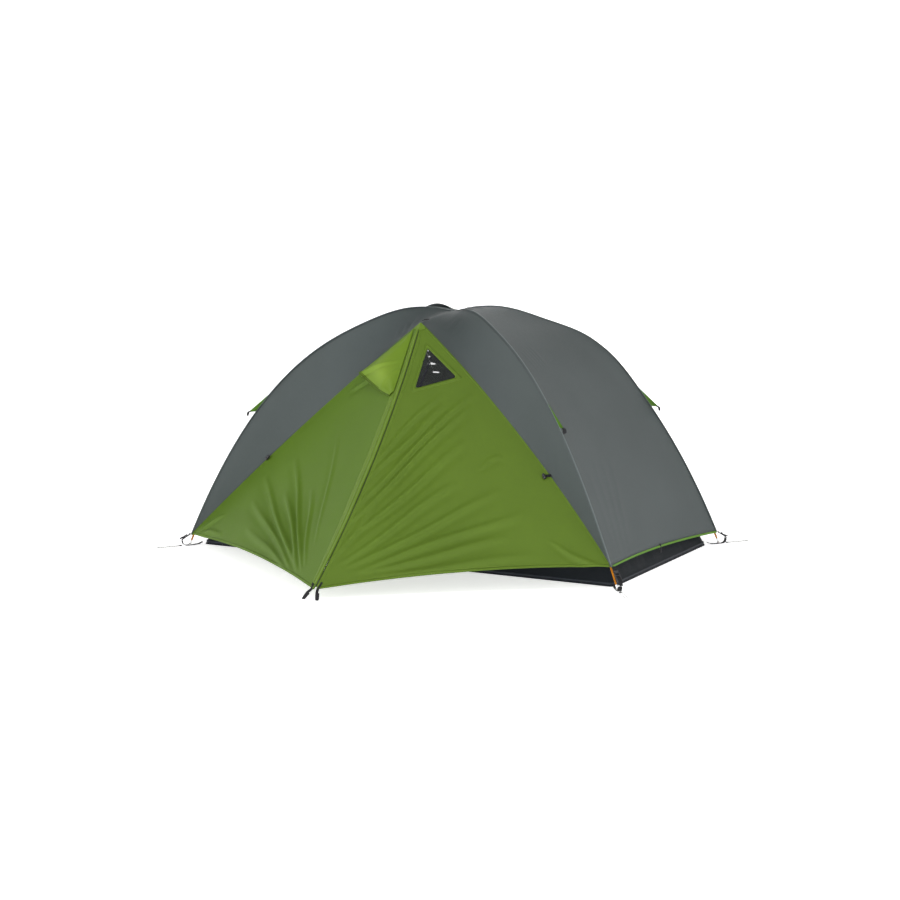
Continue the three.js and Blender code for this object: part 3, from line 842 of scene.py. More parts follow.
def door_cloth(door, hole):
    """The half's own sheet with its opening."""
    t_rows, columns = np.linspace(0.012, 1, 200), np.linspace(0, 1, 150)
    start = door.edge / door.width(t_rows)
    u = start[:, None] + (1 - start[:, None]) * columns
    t = door.hem(t_rows[:, None], u)
    x, y = door.flat(t, u)
    outline = rounded_triangle(hole, OPENING_RADIUS)
    hidden = inside(outline, x, y)
    halves = (slice(None, -1), slice(1, None))
    corners = [(rows, columns) for rows in halves for columns in halves]
    dropped = np.any([hidden[corner] for corner in corners], 0)
    touched = np.zeros_like(hidden)
    for corner in corners:
        touched[corner] |= dropped
    snap_to_outline(outline, x, y, touched & ~hidden)
    moved_t, moved_u = door.locate(x, y)
    t, u = np.where(touched, moved_t, t), np.where(touched, moved_u, u)
    return door.point(t, u), np.stack([x, y], -1), ~dropped


def build_door(side, kind, door, hole, made):
    """Cloth of one half, its hem fold, the facing round its opening and the webbing loop at its tip."""
    body = f"{side}_door_{kind}"
    cloth_look, tape_look = ("door", "door_tape") if kind == "window" else ("vent_door", "vent_tape")
    points, uv, keep = door_cloth(door, hole)
    cloth = sheet_object(f"{body}_cloth", turned(points, side), uv, keep=keep, flip=kind == "vent")
    finish_piece(cloth, None, "door_cloth", made[cloth_look], [f"{body}_half"])
    blend_door(cloth, door, side)

    u = np.linspace(door.edge / door.width(1.0), 1, 150)
    rise = np.linspace(0.014, -0.0005, 5)
    t = door.hem(np.ones((5, 1)), u[None]) - rise[:, None] / door.length
    lift = np.array([0.0002, 0.0014, 0.0016, 0.0015, 0.0002])[:, None]
    points = door.point(t, u[None] * np.ones((5, 1)), lift)
    run = lengths(points[-1])
    uv = pair(run, rise[:, None])
    hem = sheet_object(f"{body}_hem", turned(points, side), uv, edge=uv, flip=kind == "vent")
    finish_piece(hem, None, "door_cloth", made[tape_look])
    blend_door(hem, door, side)

    facing = opening_facing(f"{body}_facing", door, hole, side, kind)
    finish_piece(facing, body, "door_cloth", made[tape_look])
    loop = stake_loop(f"{body}_stake_loop", door, side, kind)
    finish_piece(loop, body, "webbing", made["webbing"])


def opening_facing(name, door, hole, side, kind):
    """Doubled cloth sewn round the opening, standing a little proud."""
    spread = np.array([-0.002, -0.0018, 0.004, 0.011, 0.0125])
    lift = np.array([0.0, 0.0012, 0.0017, 0.0013, 0.0001])
    rings = [rounded_triangle(hole, OPENING_RADIUS, -d) for d in spread]
    rings = [np.vstack([r, r[:1]]) for r in rings]
    points = np.stack([door.at(r[:, 0], r[:, 1], h) for r, h in zip(rings, lift)])
    run = lengths(rings[2])
    edge = pair(run, spread[:, None] + 0.0005)
    return sheet_object(name, turned(points, side), edge, edge=edge, flip=kind == "window")


def opening_panel(name, door, hole, side, height, folds=(), rings_in=16):
    """Film or netting that fills an opening, as rings that shrink to the middle."""
    outline = rounded_triangle(hole, OPENING_RADIUS, 0.0006)
    centre = outline.mean(0)
    scale = np.linspace(1, 0.02, rings_in)[:, None, None]
    rings = centre + (outline - centre)[None] * scale
    rings = np.concatenate([rings, rings[:, :1]], 1)
    x, y = rings[..., 0], rings[..., 1]
    ripple = np.zeros_like(x)
    for x0, y0, reach, rise, half in folds:
        along, off = (y - y0) - 0.34 * (x - x0), (x - x0) + 0.34 * (y - y0)
        ripple = ripple + rise * np.exp(-((along / reach) ** 6)) * np.exp(-((off / half) ** 2))
    points = door.at(x, y, height + ripple)
    return sheet_object(name, turned(points, side), rings, thickness=0.0004)


def stake_loop(name, door, side, kind):
    """Webbing loop from the tip's cloth down to where a stake holds it."""
    across, landing = (0.034, -0.016) if kind == "vent" else (0.022, 0.050)
    start = door.at(door.length - 0.045, across * 0.8, 0.0018)
    leave = door.at(door.length - 0.012, across * 0.6, 0.0015)
    down = np.array([landing, TIP[1] - 0.014, 0.0056])
    bend = mix(leave, down, 0.5) + np.array([0, -0.005, 0.003])
    back = mix(leave, down, 0.45) + np.array([0, 0.004, 0.0])
    path = smooth_path([start, leave, bend, down, down + np.array([0, 0.006, 0.001]), back], 8)
    return strip(name, turned(path, side), turned((1, 0.2, 0), side), LOOP_WIDTH)


# ---- Storm flap, zip and hood ----
def build_zip(side, made):
    """Flap over the zip, with a bowed band and a thin root to its hinge line, and the coil and its facing."""
    door = VENT_DOOR
    t = np.linspace(0.023, 1 - 0.018, 220)[:, None]
    across = np.array([0, 0.0010, 0.004, 0.011, 0.018, 0.019, 0.020, 0.027, 0.033, 0.0352, 0.036])
    height = (0.0030, 0.0052, 0.0062, 0.0060, 0.0040, 0.0030, 0.0040, 0.0052, 0.0040, 0.0022, 0.0006,
              0.0009, 0.0008)
    start = ZIP_VENT_EDGE - 0.002
    taper = np.clip(t / 0.08, 0.25, 1)
    sewn = start + across[-1] * taper
    root = ZIP_BOW * arc(t) + 0.004
    distance = np.concatenate([start + across * 1.04 * taper, sewn + root * 0.5, sewn + root], 1)
    points = door.beside_zip(t, distance, height)
    run = t * door.length
    flap = sheet_object(f"{side}_storm_flap_cloth", turned(points, side), pair(distance, run),
                        edge=pair(run, distance - start), flip=True)
    finish_piece(flap, f"{side}_storm_flap", "door_cloth", made["flap"], [f"{side}_storm_flap"])

    window = WINDOW_DOOR
    t = np.linspace(0.016, 1 - 0.010, 420)[:, None]
    run = t * window.length
    for part, slot, look, narrowest, across, height in (
        ("coil", "webbing", "zip", 0.2,
         (-0.0016, -0.0008, 0.0000, 0.0008, 0.0020, 0.0028, 0.0036, 0.0044),
         (-0.0010, -0.0006, 0.0006, 0.0014, 0.0014, 0.0006, -0.0002, -0.0004)),
        ("facing", "door_cloth", "door_tape", 0.3,
         (0.0020, 0.0024, 0.0040, 0.0140, 0.0190, 0.0196),
         (0.0001, 0.0018, 0.0022, 0.0018, 0.0014, 0.0001)),
    ):
        across = np.array(across)
        points = window.beside_zip(t, across * np.clip(t / 0.05, narrowest, 1), height)
        piece = sheet_object(f"{side}_zip_{part}", turned(points, side), pair(across, run),
                             thickness=TAPE_THICKNESS, edge=pair(run, across - across[0]))
        finish_piece(piece, f"{side}_door_window", slot, made[look])


def build_hood(side, made):
    """Stiffened hood over the vent, its side wall, its bound rim and the net below it."""
    door = VENT_DOOR
    lift = lambda reach: HOOD_STAND + reach * sin(HOOD_RISE)
    place = lambda x, reach: door.at(x, HOOD_HINGE + reach * cos(HOOD_RISE), lift(reach))
    corner_share = 0.46
    top, corner, low = np.array([HOOD_TOP, 0]), np.array(HOOD_CORNER), np.array([HOOD_LOW, 0])

    def outer(a):
        """Outer edge in hood coordinates: up the side to the corner, then along the rim."""
        a = np.asarray(a, float)[..., None]
        rise = np.clip(a / corner_share, 0, 1)
        r = np.clip((a - corner_share) / (1 - corner_share), 0, 1)
        rim = (1 - r) ** 2 * corner + 2 * r * (1 - r) * np.array(HOOD_CONTROL) + r**2 * low
        return np.where(a < corner_share, mix(top, corner, rise), rim)

    a = np.linspace(0.0, 1, 90)[:, None]
    b = np.linspace(0, 1, 48)[None]
    edge_xy = outer(a[:, 0])
    down = mix(HOOD_TOP, HOOD_LOW, a)
    t_hinge = down[:, 0] / door.length
    hinge = door.beside_zip(t_hinge, np.full_like(t_hinge, HOOD_HINGE), HOOD_STAND)
    rim = place(edge_xy[:, 0], edge_xy[:, 1])
    span = np.linalg.norm(rim - hinge, axis=1)[:, None]
    grid = mix(hinge[:, None], rim[:, None], b[..., None])
    crown = (0.055 * span + 0.0025) * np.sin(pi * b) ** 0.9
    pleats = 0.0022 * np.sin(3 * pi * b) * np.sin(2.3 * pi * a + 1.0)
    pleats += 0.0016 * np.exp(-(((a - 0.62 - 0.25 * b) / 0.03) ** 2))
    grid = grid + door.out * (crown + pleats * np.minimum(1, span / 0.08))[..., None]
    # Painted light: a soft lighter patch in the hood's middle, standing in for light shining through it,
    # passed to the material in the Seam uv.
    painted_light = np.exp(-(((a - 0.62) / 0.22) ** 2)) * np.exp(-(((b - 0.55) / 0.30) ** 2))
    hood = sheet_object(f"{side}_vent_hood_cloth", turned(grid, side), pair(span * b, down),
                        edge=pair(0.75 * painted_light, 0.0), flip=True)
    finish_piece(hood, f"{side}_vent_hood", "hood_cloth", made["hood"], [f"{side}_vent_hood"])

    past = a[:, 0] >= corner_share - 0.02
    rim_path = rim[past] + door.out * 0.0005
    inset = rim_path + (hinge[past] - rim[past]) / np.maximum(span[past], 0.01) * 0.0085 + door.out * 0.0015
    points, faces, uv = joined_parts([tube_parts(rim_path, 0.0032, 10), tube_parts(inset, 0.0024, 8)])
    binding = mesh_object(f"{side}_vent_hood_rim", turned(points, side), faces, uv)
    finish_piece(binding, f"{side}_vent_hood", "hood_cloth", made["rim"])

    past_corner = corner_share + np.linspace(0.012, 0.075, 6)
    side_a = np.concatenate([np.linspace(0.02, corner_share, 44), past_corner])
    edge_xy = outer(side_a)
    upper = place(edge_xy[:, 0], edge_xy[:, 1])
    foot_t = np.concatenate([np.linspace(0.03, 0.248, 44), np.linspace(0.251, 0.262, 6)])
    foot_u = np.concatenate([np.full(44, 0.985), np.linspace(0.975, 0.93, 6)])
    foot = door.point(foot_t, foot_u, 0.0015)
    c = np.linspace(0, 1, 9)[None, :, None]
    wall = mix(upper[:, None], foot[:, None], c)
    bulge = np.linalg.norm(upper - foot, axis=1)[:, None] * np.sin(pi * c[..., 0]) * 0.06
    wall = wall + door.away * bulge[..., None]
    uv = pair(lengths(upper)[:, None], c[..., 0] * 0.07)
    cheek = sheet_object(f"{side}_vent_hood_cheek", turned(wall, side), uv, flip=True)
    finish_piece(cheek, None, "door_cloth", made["vent_door"])
    low_point, high_point = turned(foot[-1], side), turned(upper[-1], side)
    tuple(low_point)
    tuple(high_point)
    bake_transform(cheek)

    net = opening_panel(f"{side}_vent_net", door, VENT_HOLE, side, -0.0008)
    finish_piece(net, f"{side}_door_vent", "mesh", made["net"], [f"{side}_vent_mesh"])


# Soft folds of the window film: a place on the door, half length, height and half width.
FILM_FOLDS = (
    (0.128, 0.074, 0.010, 0.0019, 0.0080),
    (0.156, 0.082, 0.020, 0.0027, 0.0120),
    (0.186, 0.104, 0.042, 0.0032, 0.0140),
    (0.224, 0.146, 0.020, 0.0019, 0.0085),
)


def build_window(side, made):
    """Film in the window's opening and the dark tape behind it."""
    film = opening_panel(f"{side}_window_film", WINDOW_DOOR, WINDOW, side, -0.0006, FILM_FOLDS, 60)
    finish_piece(film, f"{side}_door_window", "clear_film", made["film"], [f"{side}_window_pane"])
    tie = WINDOW_DOOR.at(np.linspace(0.16, 0.33, 20), np.full(20, 0.104), 0.0016)
    ribbon = strip(f"{side}_window_tape", turned(tie, side), turned(WINDOW_DOOR.away, side), 0.006,
                   thickness=0.0006)
    finish_piece(ribbon, f"{side}_door_window", "mesh", made["net_edge"])


# ---- Fly canopy ----
def crease(x, y, ax, ay, bx, by, rise, half):
    """Ridge along the segment from a to b."""
    d = np.array([bx - ax, by - ay])
    size = np.linalg.norm(d)
    along = ((x - ax) * d[0] + (y - ay) * d[1]) / size**2
    off = ((x - ax) * d[1] - (y - ay) * d[0]) / size
    t = np.clip(along, 0, 1)
    return rise * np.sin(pi * t) * np.exp(-((off / half) ** 2))


ROWS = np.linspace(0, 1, 112)


def gusset_grid(end, seed):
    """Cloth from a pole seam to the curved door seam, rows from the ridge to the corner."""
    door = WINDOW_DOOR if end > 0 else VENT_DOOR
    r = ROWS[:, None]
    c = np.linspace(0, 1, 26)[None]
    pole = fly_seam(end, -1, ROWS * corner_place(end, -1))
    chord = APEX + (door.corner - APEX) * r
    bow = door.bow * arc(r)
    points = mix(pole[:, None], chord[:, None], c[..., None]) + bow[:, None] * (c * c)[..., None]
    width = np.linalg.norm(chord - pole, axis=1)[:, None]
    x, y = r * FLY_ARCH, c * width
    height = -0.010 * width * 6.75 * c * c * (1 - c) * np.minimum(1, r / 0.15)
    height += 0.0012 * soft_noise(x, y, seed, 0.18) * np.sin(pi * c)  # one value of noise for each row
    for k in range(3):
        height += crease(x, y, 0.14 + 0.045 * k, 0.24, 0.17 + 0.05 * k, 0.07 + 0.02 * k, 0.0050, 0.011)
    points += surface_normal(points) * (height * np.minimum(1, r / 0.03))[..., None]
    points[..., 2] += RIDGE_CROWN * arc(c) * (1 - r) ** 6
    return points, pair(x, y)


def surface_normal(points):
    """Outward normals of a grid of points, away from the tent's middle."""
    n = unit_rows(np.cross(np.gradient(points, axis=0), np.gradient(points, axis=1)))
    middle = points - np.array([0, 0, 0.2])
    return n * np.sign(np.sum(n * middle, -1))[..., None]


def end_grid(end, seed):
    """End panel between two pole seams, rows from the crossing to the hem."""
    r = ROWS[:, None]
    t = np.linspace(0, 1, 90)[None]
    s = end_hem(end, t) * r
    points = mix(fly_seam(end, -1, s), fly_seam(end, 1, s), t[..., None])
    x, y = s * FLY_ARCH, (t - 0.5) * 2 * half_width(s)
    height = 0.0016 * soft_noise(x, y, seed, 0.22)
    for k in range(5):
        start = -end * (0.28 - 0.028 * k)
        height += crease(x, y, 0.72, start, 0.93, start - end * 0.03, 0.0016, 0.008)
    for k in range(4):
        low, high = -end * (0.50 - 0.05 * k), -end * (0.42 - 0.10 * k)
        height += crease(x, y, 1.70, low, 1.36, high, 0.0022, 0.012)
    for k in range(3):
        height += crease(x, y, 0.03, 0.02 * (k - 1), 0.26, 0.09 * (k - 1), 0.0050, 0.011)
    points[..., 0] -= end * END_SAG * s * arc(t)
    inner = np.sin(pi * t) ** 0.5 * np.minimum(1, r / 0.05)
    points += surface_normal(points) * (height * inner)[..., None]
    return points, pair(y, x)


def build_canopy(made):
    """The whole fly but its doors, as one piece.

    The end panels share their seams with the front gussets. The back gussets are the front ones turned, so
    a step is left open to the end panels at the back right shoulder, and near the top at the back left.
    """
    patches = []
    for end, seed in ((1, 11), (-1, 12)):
        patches.append(end_grid(end, seed) + (end < 0,))
        points, uv = gusset_grid(end, seed + 4)
        patches.append((points, uv, end > 0))
        patches.append((turned(points, "back"), uv, end > 0))
    points, faces, uv = joined_parts([
        (p.reshape(-1, 3), grid_faces(*p.shape[:2], flip=flip), w.reshape(-1, 2)) for p, w, flip in patches])
    keys = np.round(points / 2e-5).astype(np.int64)
    _, first, index = np.unique(keys, axis=0, return_index=True, return_inverse=True)
    index = index.ravel()
    faces = np.asarray(faces)
    corner_uv = uv[faces]
    merged = index[faces]
    clean, kept = [], []
    for i, face in enumerate(merged):
        order = list(dict.fromkeys(face))
        if len(order) > 2:
            clean.append(order)
            kept.append([corner_uv[i][list(face).index(v)] for v in order])
    canopy = mesh_object("fly_canopy", points[first], clean)
    layer = canopy.data.uv_layers.new(name="UVMap")
    layer.data.foreach_set("uv", np.concatenate(kept).astype(np.float32).ravel())
    thicken(canopy, CLOTH)
    names = [f"{side}_{kind}_side_gusset" for side in SIDES for kind in ("vent", "window")]
    finish_piece(canopy, "root", "fly_cloth", made["fly"], ["fly_right_end", "fly_left_end", *names])


def ribbon_along(name, path, normal, width, look, slot, profile):
    """Sewn tape that follows a seam: profile lists (share across, height)."""
    across = unit_rows(np.cross(unit_rows(np.gradient(path, axis=0)), normal))
    profile = np.asarray(profile, float)
    points = path[:, None] + across[:, None] * (profile[:, :1] * width) + normal[:, None] * profile[:, 1:]
    run, off = lengths(path)[:, None], profile[:, 0] * width
    piece = sheet_object(name, points, pair(run, off), thickness=TAPE_THICKNESS, edge=pair(run, np.abs(off)))
    finish_piece(piece, "root", slot, look)


# Sections of the sewn tapes: share of the width, height.
POLE_TAPE = ((-0.5, 0.0002), (-0.46, 0.0010), (-0.2, 0.0014), (-0.08, 0.0026), (0.08, 0.0026), (0.2, 0.0014),
             (0.46, 0.0010), (0.5, 0.0002))
DOOR_TAPE = ((-0.5, 0.0002), (-0.45, 0.0012), (0.0, 0.0016), (0.45, 0.0012), (0.5, 0.0002))
HEM_WRAP = ((-0.5, 0.0012), (-0.1, 0.0020), (0.42, 0.0020), (0.5, 0.0), (0.42, -0.0020), (-0.1, -0.0020),
            (-0.5, -0.0012))
TUB_TAPE = ((-0.5, 0.0008), (-0.4, 0.0016), (0.4, 0.0016), (0.5, 0.0008))


def build_seams(made):
    """Raised tape over each pole seam and each door seam, a light piping on each pole seam that is a painted
    highlight, and the bright piping of the end hems.
    """
    for end, word in ((1, "right"), (-1, "left")):
        for side in (-1, 1):
            s = np.linspace(0.012, corner_place(end, side), 110)
            place = f"{word}_{'front' if side < 0 else 'back'}"
            line, out = fly_seam(end, side, s), seam_normal(end, side, s)
            ribbon_along(f"pole_seam_{place}", line, out, SEAM_WIDTH, made["seam"], "fly_cloth", POLE_TAPE)
            # The piping's light grey is a painted highlight along the seam's ridge.
            cord = tube(f"pole_highlight_piping_{place}", line + out * 0.0020, 0.0019, 8)
            finish_piece(cord, "root", "fly_cloth", made["piping_highlight"])
    for side in SIDES:
        for kind, door, look in (("window", WINDOW_DOOR, "door_tape"), ("vent", VENT_DOOR, "vent_tape")):
            t = np.linspace(0.012, 0.992, 120)
            out = turned(door.normal(t, np.full_like(t, 0.97)), side)
            ribbon_along(f"{side}_{kind}_seam", turned(door.seam_line(t), side), out, 0.010, made[look],
                         "door_cloth", DOOR_TAPE)
    for end, word in ((1, "right"), (-1, "left")):
        t = np.linspace(0.002, 0.998, 120)
        s = end_hem(end, t)
        path = mix(seam(end, -1, s), seam(end, 1, s), t[:, None])
        path[:, 0] -= end * END_SAG * s * arc(t)
        normal = np.broadcast_to(unit(np.array([end, 0, 0.35])), path.shape)
        ribbon_along(f"{word}_hem_piping", path, normal, 0.0095 * end, made["piping"], "door_cloth", HEM_WRAP)
        drop = np.array([(0, 0.012), (0.002, 0.0), (0.004, -0.016), (0.002, -0.030), (-0.002, -0.018),
                         (-0.003, 0.008)])
        loop = [path[60] + (end * x, 0, z) for x, z in drop]
        webbing(f"{word}_hem_loop", smooth_path(loop, 6), (0, 1, 0), TAB_WIDTH, made)


def build_fly_details(made):
    """Ridge tabs, patches at the apexes, guy-outs and the toggles that hold a rolled door."""
    for side in SIDES:
        top = np.array([0.0, -0.298, 1.1020])
        loop = ((-0.014, 0, -0.0006), (-0.004, 0, 0.0022), (0.008, 0, 0.0042), (0.018, -0.001, 0.0060),
                (0.0195, -0.001, 0.0085), (0.010, 0, 0.0075), (-0.003, 0, 0.0048))
        path = smooth_path([top + np.array(p) for p in loop], 6)
        webbing(f"{side}_ridge_tab", turned(path, side), turned((0, 1, 0), side), TAB_WIDTH, made)
        build_apex_cap(side, made)
        for kind, door, share in (("window", WINDOW_DOOR, 0.657), ("vent", VENT_DOOR, 0.655)):
            build_toggle(side, kind, door, share, made)
    for end in (1, -1):
        for back in (-1, 1):
            build_guy_out(end, back, made)


def build_apex_cap(side, made):
    """Reinforcing patch where the zip, the flap and both door seams meet."""
    t = np.linspace(0.0015, 0.030, 14)[:, None]
    u = np.linspace(0, 1.02, 12)[None]
    reach = u * np.clip(1.2 - 26 * (t - 0.014), 0.12, 1)
    halves = [d.point(t * np.ones_like(u), reach, 0.0) for d in (VENT_DOOR, WINDOW_DOOR)]
    points = np.concatenate([halves[0][:, ::-1], halves[1][:, 1:]], 1)
    points[..., 2] += 0.0046
    points[..., 1] -= 0.0030 * np.linspace(0, 1, 14)[:, None] ** 0.5
    uv = points[..., [0, 2]]
    cap = sheet_object(f"{side}_apex_patch", turned(points, side), uv, thickness=0.0012)
    # The patch takes the flap's lighter cloth, with its painted light.
    finish_piece(cap, "root", "door_cloth", made["flap"])


def build_toggle(side, kind, door, share, made):
    """Tape from the seam with a barrel toggle at its end, lying on the door's seam."""
    base = door.point(share, 1.006, 0.003)
    chord = unit(door.corner - APEX)
    reach = 0.030 if kind == "window" else 0.010
    lay = unit(chord * 0.45 - door.away * 0.75)
    across = np.cross(door.out, lay)
    steps = ((-0.010, 0.001), (0.0, 0.003), (0.5 * reach, 0.0055), (reach, 0.0065))
    path = smooth_path([base + lay * a + door.out * h for a, h in steps], 6)
    webbing(f"{side}_{kind}_toggle_tape", turned(path, side), turned(across, side), LOOP_WIDTH, made)
    centre = base + lay * (reach + 0.006) + door.out * 0.0085
    barrel = np.linspace(-TOGGLE_HALF, TOGGLE_HALF, 15)
    radius = 0.0078 - 0.0026 * np.abs(barrel / TOGGLE_HALF) ** 3 - 0.0018 * np.exp(-((barrel / 0.003) ** 2))
    body = tube(f"{side}_{kind}_toggle", turned(centre + barrel[:, None] * across, side), radius, 16)
    finish_piece(body, "root", "black_plastic", made["plastic"])


def build_guy_out(end, back, made):
    """Green fin sewn into the pole seam, with a black webbing tab."""
    place = np.array(GUY_PLACE) + (0 if end * back < 0 else GUY_SHIFT)
    high, low = (fly_seam(end, back, s) for s in place)
    outward = unit(np.array([end * FOOT_X, back * FOOT_Y, 0]))
    lift = (outward + np.array([0, 0, 0.8])) * 0.0022
    tip = low + outward * FIN_REACH - np.array([0, 0, 0.004])
    name = corner_name(end, back)
    r = np.linspace(0, 1, 24)[:, None, None]
    c = np.linspace(0, 1, 10)[None, :, None]
    hollow = fly_seam(end, back, np.linspace(*place, 24))[:, None]
    fin = mix(hollow, mix(high, tip, r), c) + lift
    sideways = np.array([-outward[1], outward[0], 0])
    fin = fin + sideways * (0.0030 * np.sin(pi * c) * r)
    length = float(np.linalg.norm(low - high))
    c, r = c[..., 0], r[..., 0]
    edge = pair(r * length, 0.04 * (r - c) + 0.003)
    cloth = sheet_object(f"{name}_guy_fin", fin, pair(c * 0.04, r * length), edge=edge, thickness=0.0014)
    finish_piece(cloth, "root", "door_cloth", made["fin"], [f"{name}_guy_out"])
    hang = np.array([(-0.010, 0.004), (0.001, -0.001), (0.0040, -0.007), (0.0040, -0.014), (0.0016, -0.0152),
                     (0.0008, -0.009), (-0.002, -0.003)])
    path = smooth_path([tip + lift + outward * a + np.array([0, 0, b]) for a, b in hang], 6)
    webbing(f"{name}_guy_tab", path, sideways, 0.014, made, thickness=0.0052)


# ---- Inner tent ----
def tub_outline(half_x, half_y, radius=0.030):
    """Rounded rectangle, anticlockwise, always with the same number of points."""
    quarter = np.linspace(0, pi / 2, 9)
    arcs = []
    for turn, sign in enumerate(((1, 1), (-1, 1), (-1, -1), (1, -1))):
        angle = quarter + turn * pi / 2
        centre = np.array(sign) * (half_x - radius, half_y - radius)
        arcs.append(centre + radius * pair(np.cos(angle), np.sin(angle)))
    points = []
    for turn, steps in enumerate((150, 80, 150, 80)):
        here, ahead = arcs[turn], arcs[(turn + 1) % 4]
        points += [here[:-1], mix(here[-1], ahead[0], np.linspace(0, 1, steps)[:-1, None])]
    return np.vstack(points)


def raised(flat, z):
    """Flat points at a height, or at one height each."""
    return np.column_stack([flat, np.broadcast_to(z, len(flat))])


def build_tub(made):
    """Bathtub floor: coated cloth with rounded corners, its wall a little slack and the floor uneven."""
    rise = np.concatenate([np.linspace(0.0012, 0.012, 4), np.linspace(0.02, TUB_HEIGHT, 20)])
    rows = []
    for z in rise:
        share = z / TUB_HEIGHT
        flat = tub_outline(mix(TUB_BASE[0], TUB_RIM[0], share), mix(TUB_BASE[1], TUB_RIM[1], share))
        if not rows:
            run = lengths(np.vstack([flat, flat[:1]]))
        slack = 0.6 * noise_around(flat, z * 0.6, 0.11) + 0.3 * noise_around(flat, z * 0.8 + 3, 0.04)
        push = 0.007 * slack * np.sin(pi * min(1, share * 1.02)) - 0.006 * np.sin(pi * share)
        rows.append(raised(flat, z) + unit_rows(raised(flat, 0.0)) * push[:, None])
    floor_rows = []
    for k in np.linspace(0.01, 0.995, 30):
        flat = tub_outline(*TUB_BASE) * k
        z = 0.0010 + 0.0016 * (soft_noise(flat[:, 0], flat[:, 1], 23, 0.15) * 0.5 + 0.5) * (1 - k**8)
        floor_rows.append(raised(flat, z))
    points = np.stack(floor_rows + rows)
    points = np.concatenate([points, points[:, :1]], 1)
    wall = len(floor_rows)
    depth = np.concatenate([np.linspace(-0.55, -0.003, wall), rise])[:, None]
    uv = points[..., :2].copy()
    uv[wall:] = pair(run, depth)[wall:]
    tub = sheet_object("tub_floor", points, uv, thickness=0.0014, edge=pair(run, np.abs(depth - TUB_HEIGHT)))
    finish_piece(tub, "root", "tub_cloth", made["tub"], ["floor_tub"])
    tape = raised(rows[3][:, :2], 0.012)
    tape = np.vstack([tape, tape[:1]])
    normal = unit_rows(raised(tape[:, :2], 0.0))
    ribbon_along("tub_floor_tape", tape, normal, SEAM_WIDTH, made["tub_tape"], "tub_cloth", TUB_TAPE)


def noise_around(flat, z, scale):
    """Smooth noise at points of a closed outline."""
    return np.array([noise.noise(Vector((x / scale, y / scale, z / scale))) for x, y in flat])


def inner_slack(s):
    """How far the inner's long walls hang inwards of straight."""
    return 0.018 * np.sin(pi * np.clip(s, 0, 1))


def door_half_width(s):
    part = (s - INNER_DOOR_TOP) / (INNER_DOOR_BOTTOM - INNER_DOOR_TOP)
    return mix(*INNER_DOOR_HALF, part)


def build_inner(made):
    """Breathable inner as one sheet round the tent, with a door opening in each long wall."""
    top, bottom = INNER_DOOR_TOP - 0.008, INNER_DOOR_BOTTOM + 0.004
    s = np.concatenate([np.linspace(0.03, top, 24), np.linspace(top, bottom, 44)[1:], [INNER_FOOT]])
    half = INNER_X * s
    door = np.where(s > top, door_half_width(s), door_half_width(top) * s / top)
    opening = np.minimum(door + INNER_DOOR_GAP, 0.9 * half)
    x = np.concatenate([np.linspace(-half, -opening, 12), np.linspace(-opening, opening, 30)[1:],
                        np.linspace(opening, half, 12)[1:]]).T
    left = inner_seam(-1, -1, s)
    front = np.stack(np.broadcast_arrays(x, left[:, 1:2], left[:, 2:]), -1)
    front[..., 1] += inner_slack(s)[:, None] * np.clip((half[:, None] - np.abs(x)) / 0.10, 0, 1)
    t = np.linspace(0, 1, 30)[1:-1, None]
    right = mix(inner_seam(1, -1, s)[:, None], inner_seam(1, 1, s)[:, None], t)
    right[..., 0] -= 0.012 * arc(t)[:, 0]
    points = np.concatenate([front, right, turned(front, "back"), turned(right, "back"), front[:, :1]], 1)
    cells = np.ones((len(s) - 1, points.shape[1] - 1), bool)
    rows_open = (s[:-1] >= top - 1e-9) & (s[1:] <= bottom + 1e-9)
    for start in (0, front.shape[1] + right.shape[1]):
        cells[np.ix_(rows_open, np.arange(start + 11, start + 40))] = False
    uv = pair(lengths(points[-8]), (s * INNER_ARCH)[:, None])
    inner = sheet_object("inner_canopy", points, uv, keep=cells, thickness=0.0008)
    names = ["front_inner_wall", "back_inner_wall", "inner_right_end", "inner_left_end"]
    finish_piece(inner, "root", "inner_cloth", made["inner"], names)
    for side in SIDES:
        build_inner_door(side, made)
    build_clips(made)


def build_inner_door(side, made):
    """Netting door with a cloth border."""
    s = np.linspace(INNER_DOOR_TOP, INNER_DOOR_BOTTOM, 60)
    edge = inner_seam(1, -1, s)
    column = np.linspace(-1, 1, 60)
    half = door_half_width(s)[:, None]
    x = half * column
    ripple = 0.0025 * soft_noise(x, np.broadcast_to(s[:, None], x.shape), 31, 0.12)
    depth = edge[:, 1:2] + inner_slack(s)[:, None] + ripple
    points = np.stack(np.broadcast_arrays(x, depth, edge[:, 2:]), -1)
    down = (s * INNER_ARCH)[:, None]
    near = np.minimum((1 - np.abs(column)) * half, np.minimum(s - s[0], s[-1] - s)[:, None] * 1.5)
    piece = sheet_object(f"{side}_inner_door_panel", turned(points, side), pair(x, down),
                         edge=pair(down, near), thickness=0.0006)
    body = f"{side}_inner_door"
    finish_piece(piece, body, "mesh", made["net"], [body])
    piece.data.materials.append(made["inner_border"])
    centre = (near[:-1, :-1] + near[1:, 1:]) / 2
    border = (centre < INNER_BORDER).ravel().astype(np.int32)
    piece.data.polygons.foreach_set("material_index", border)


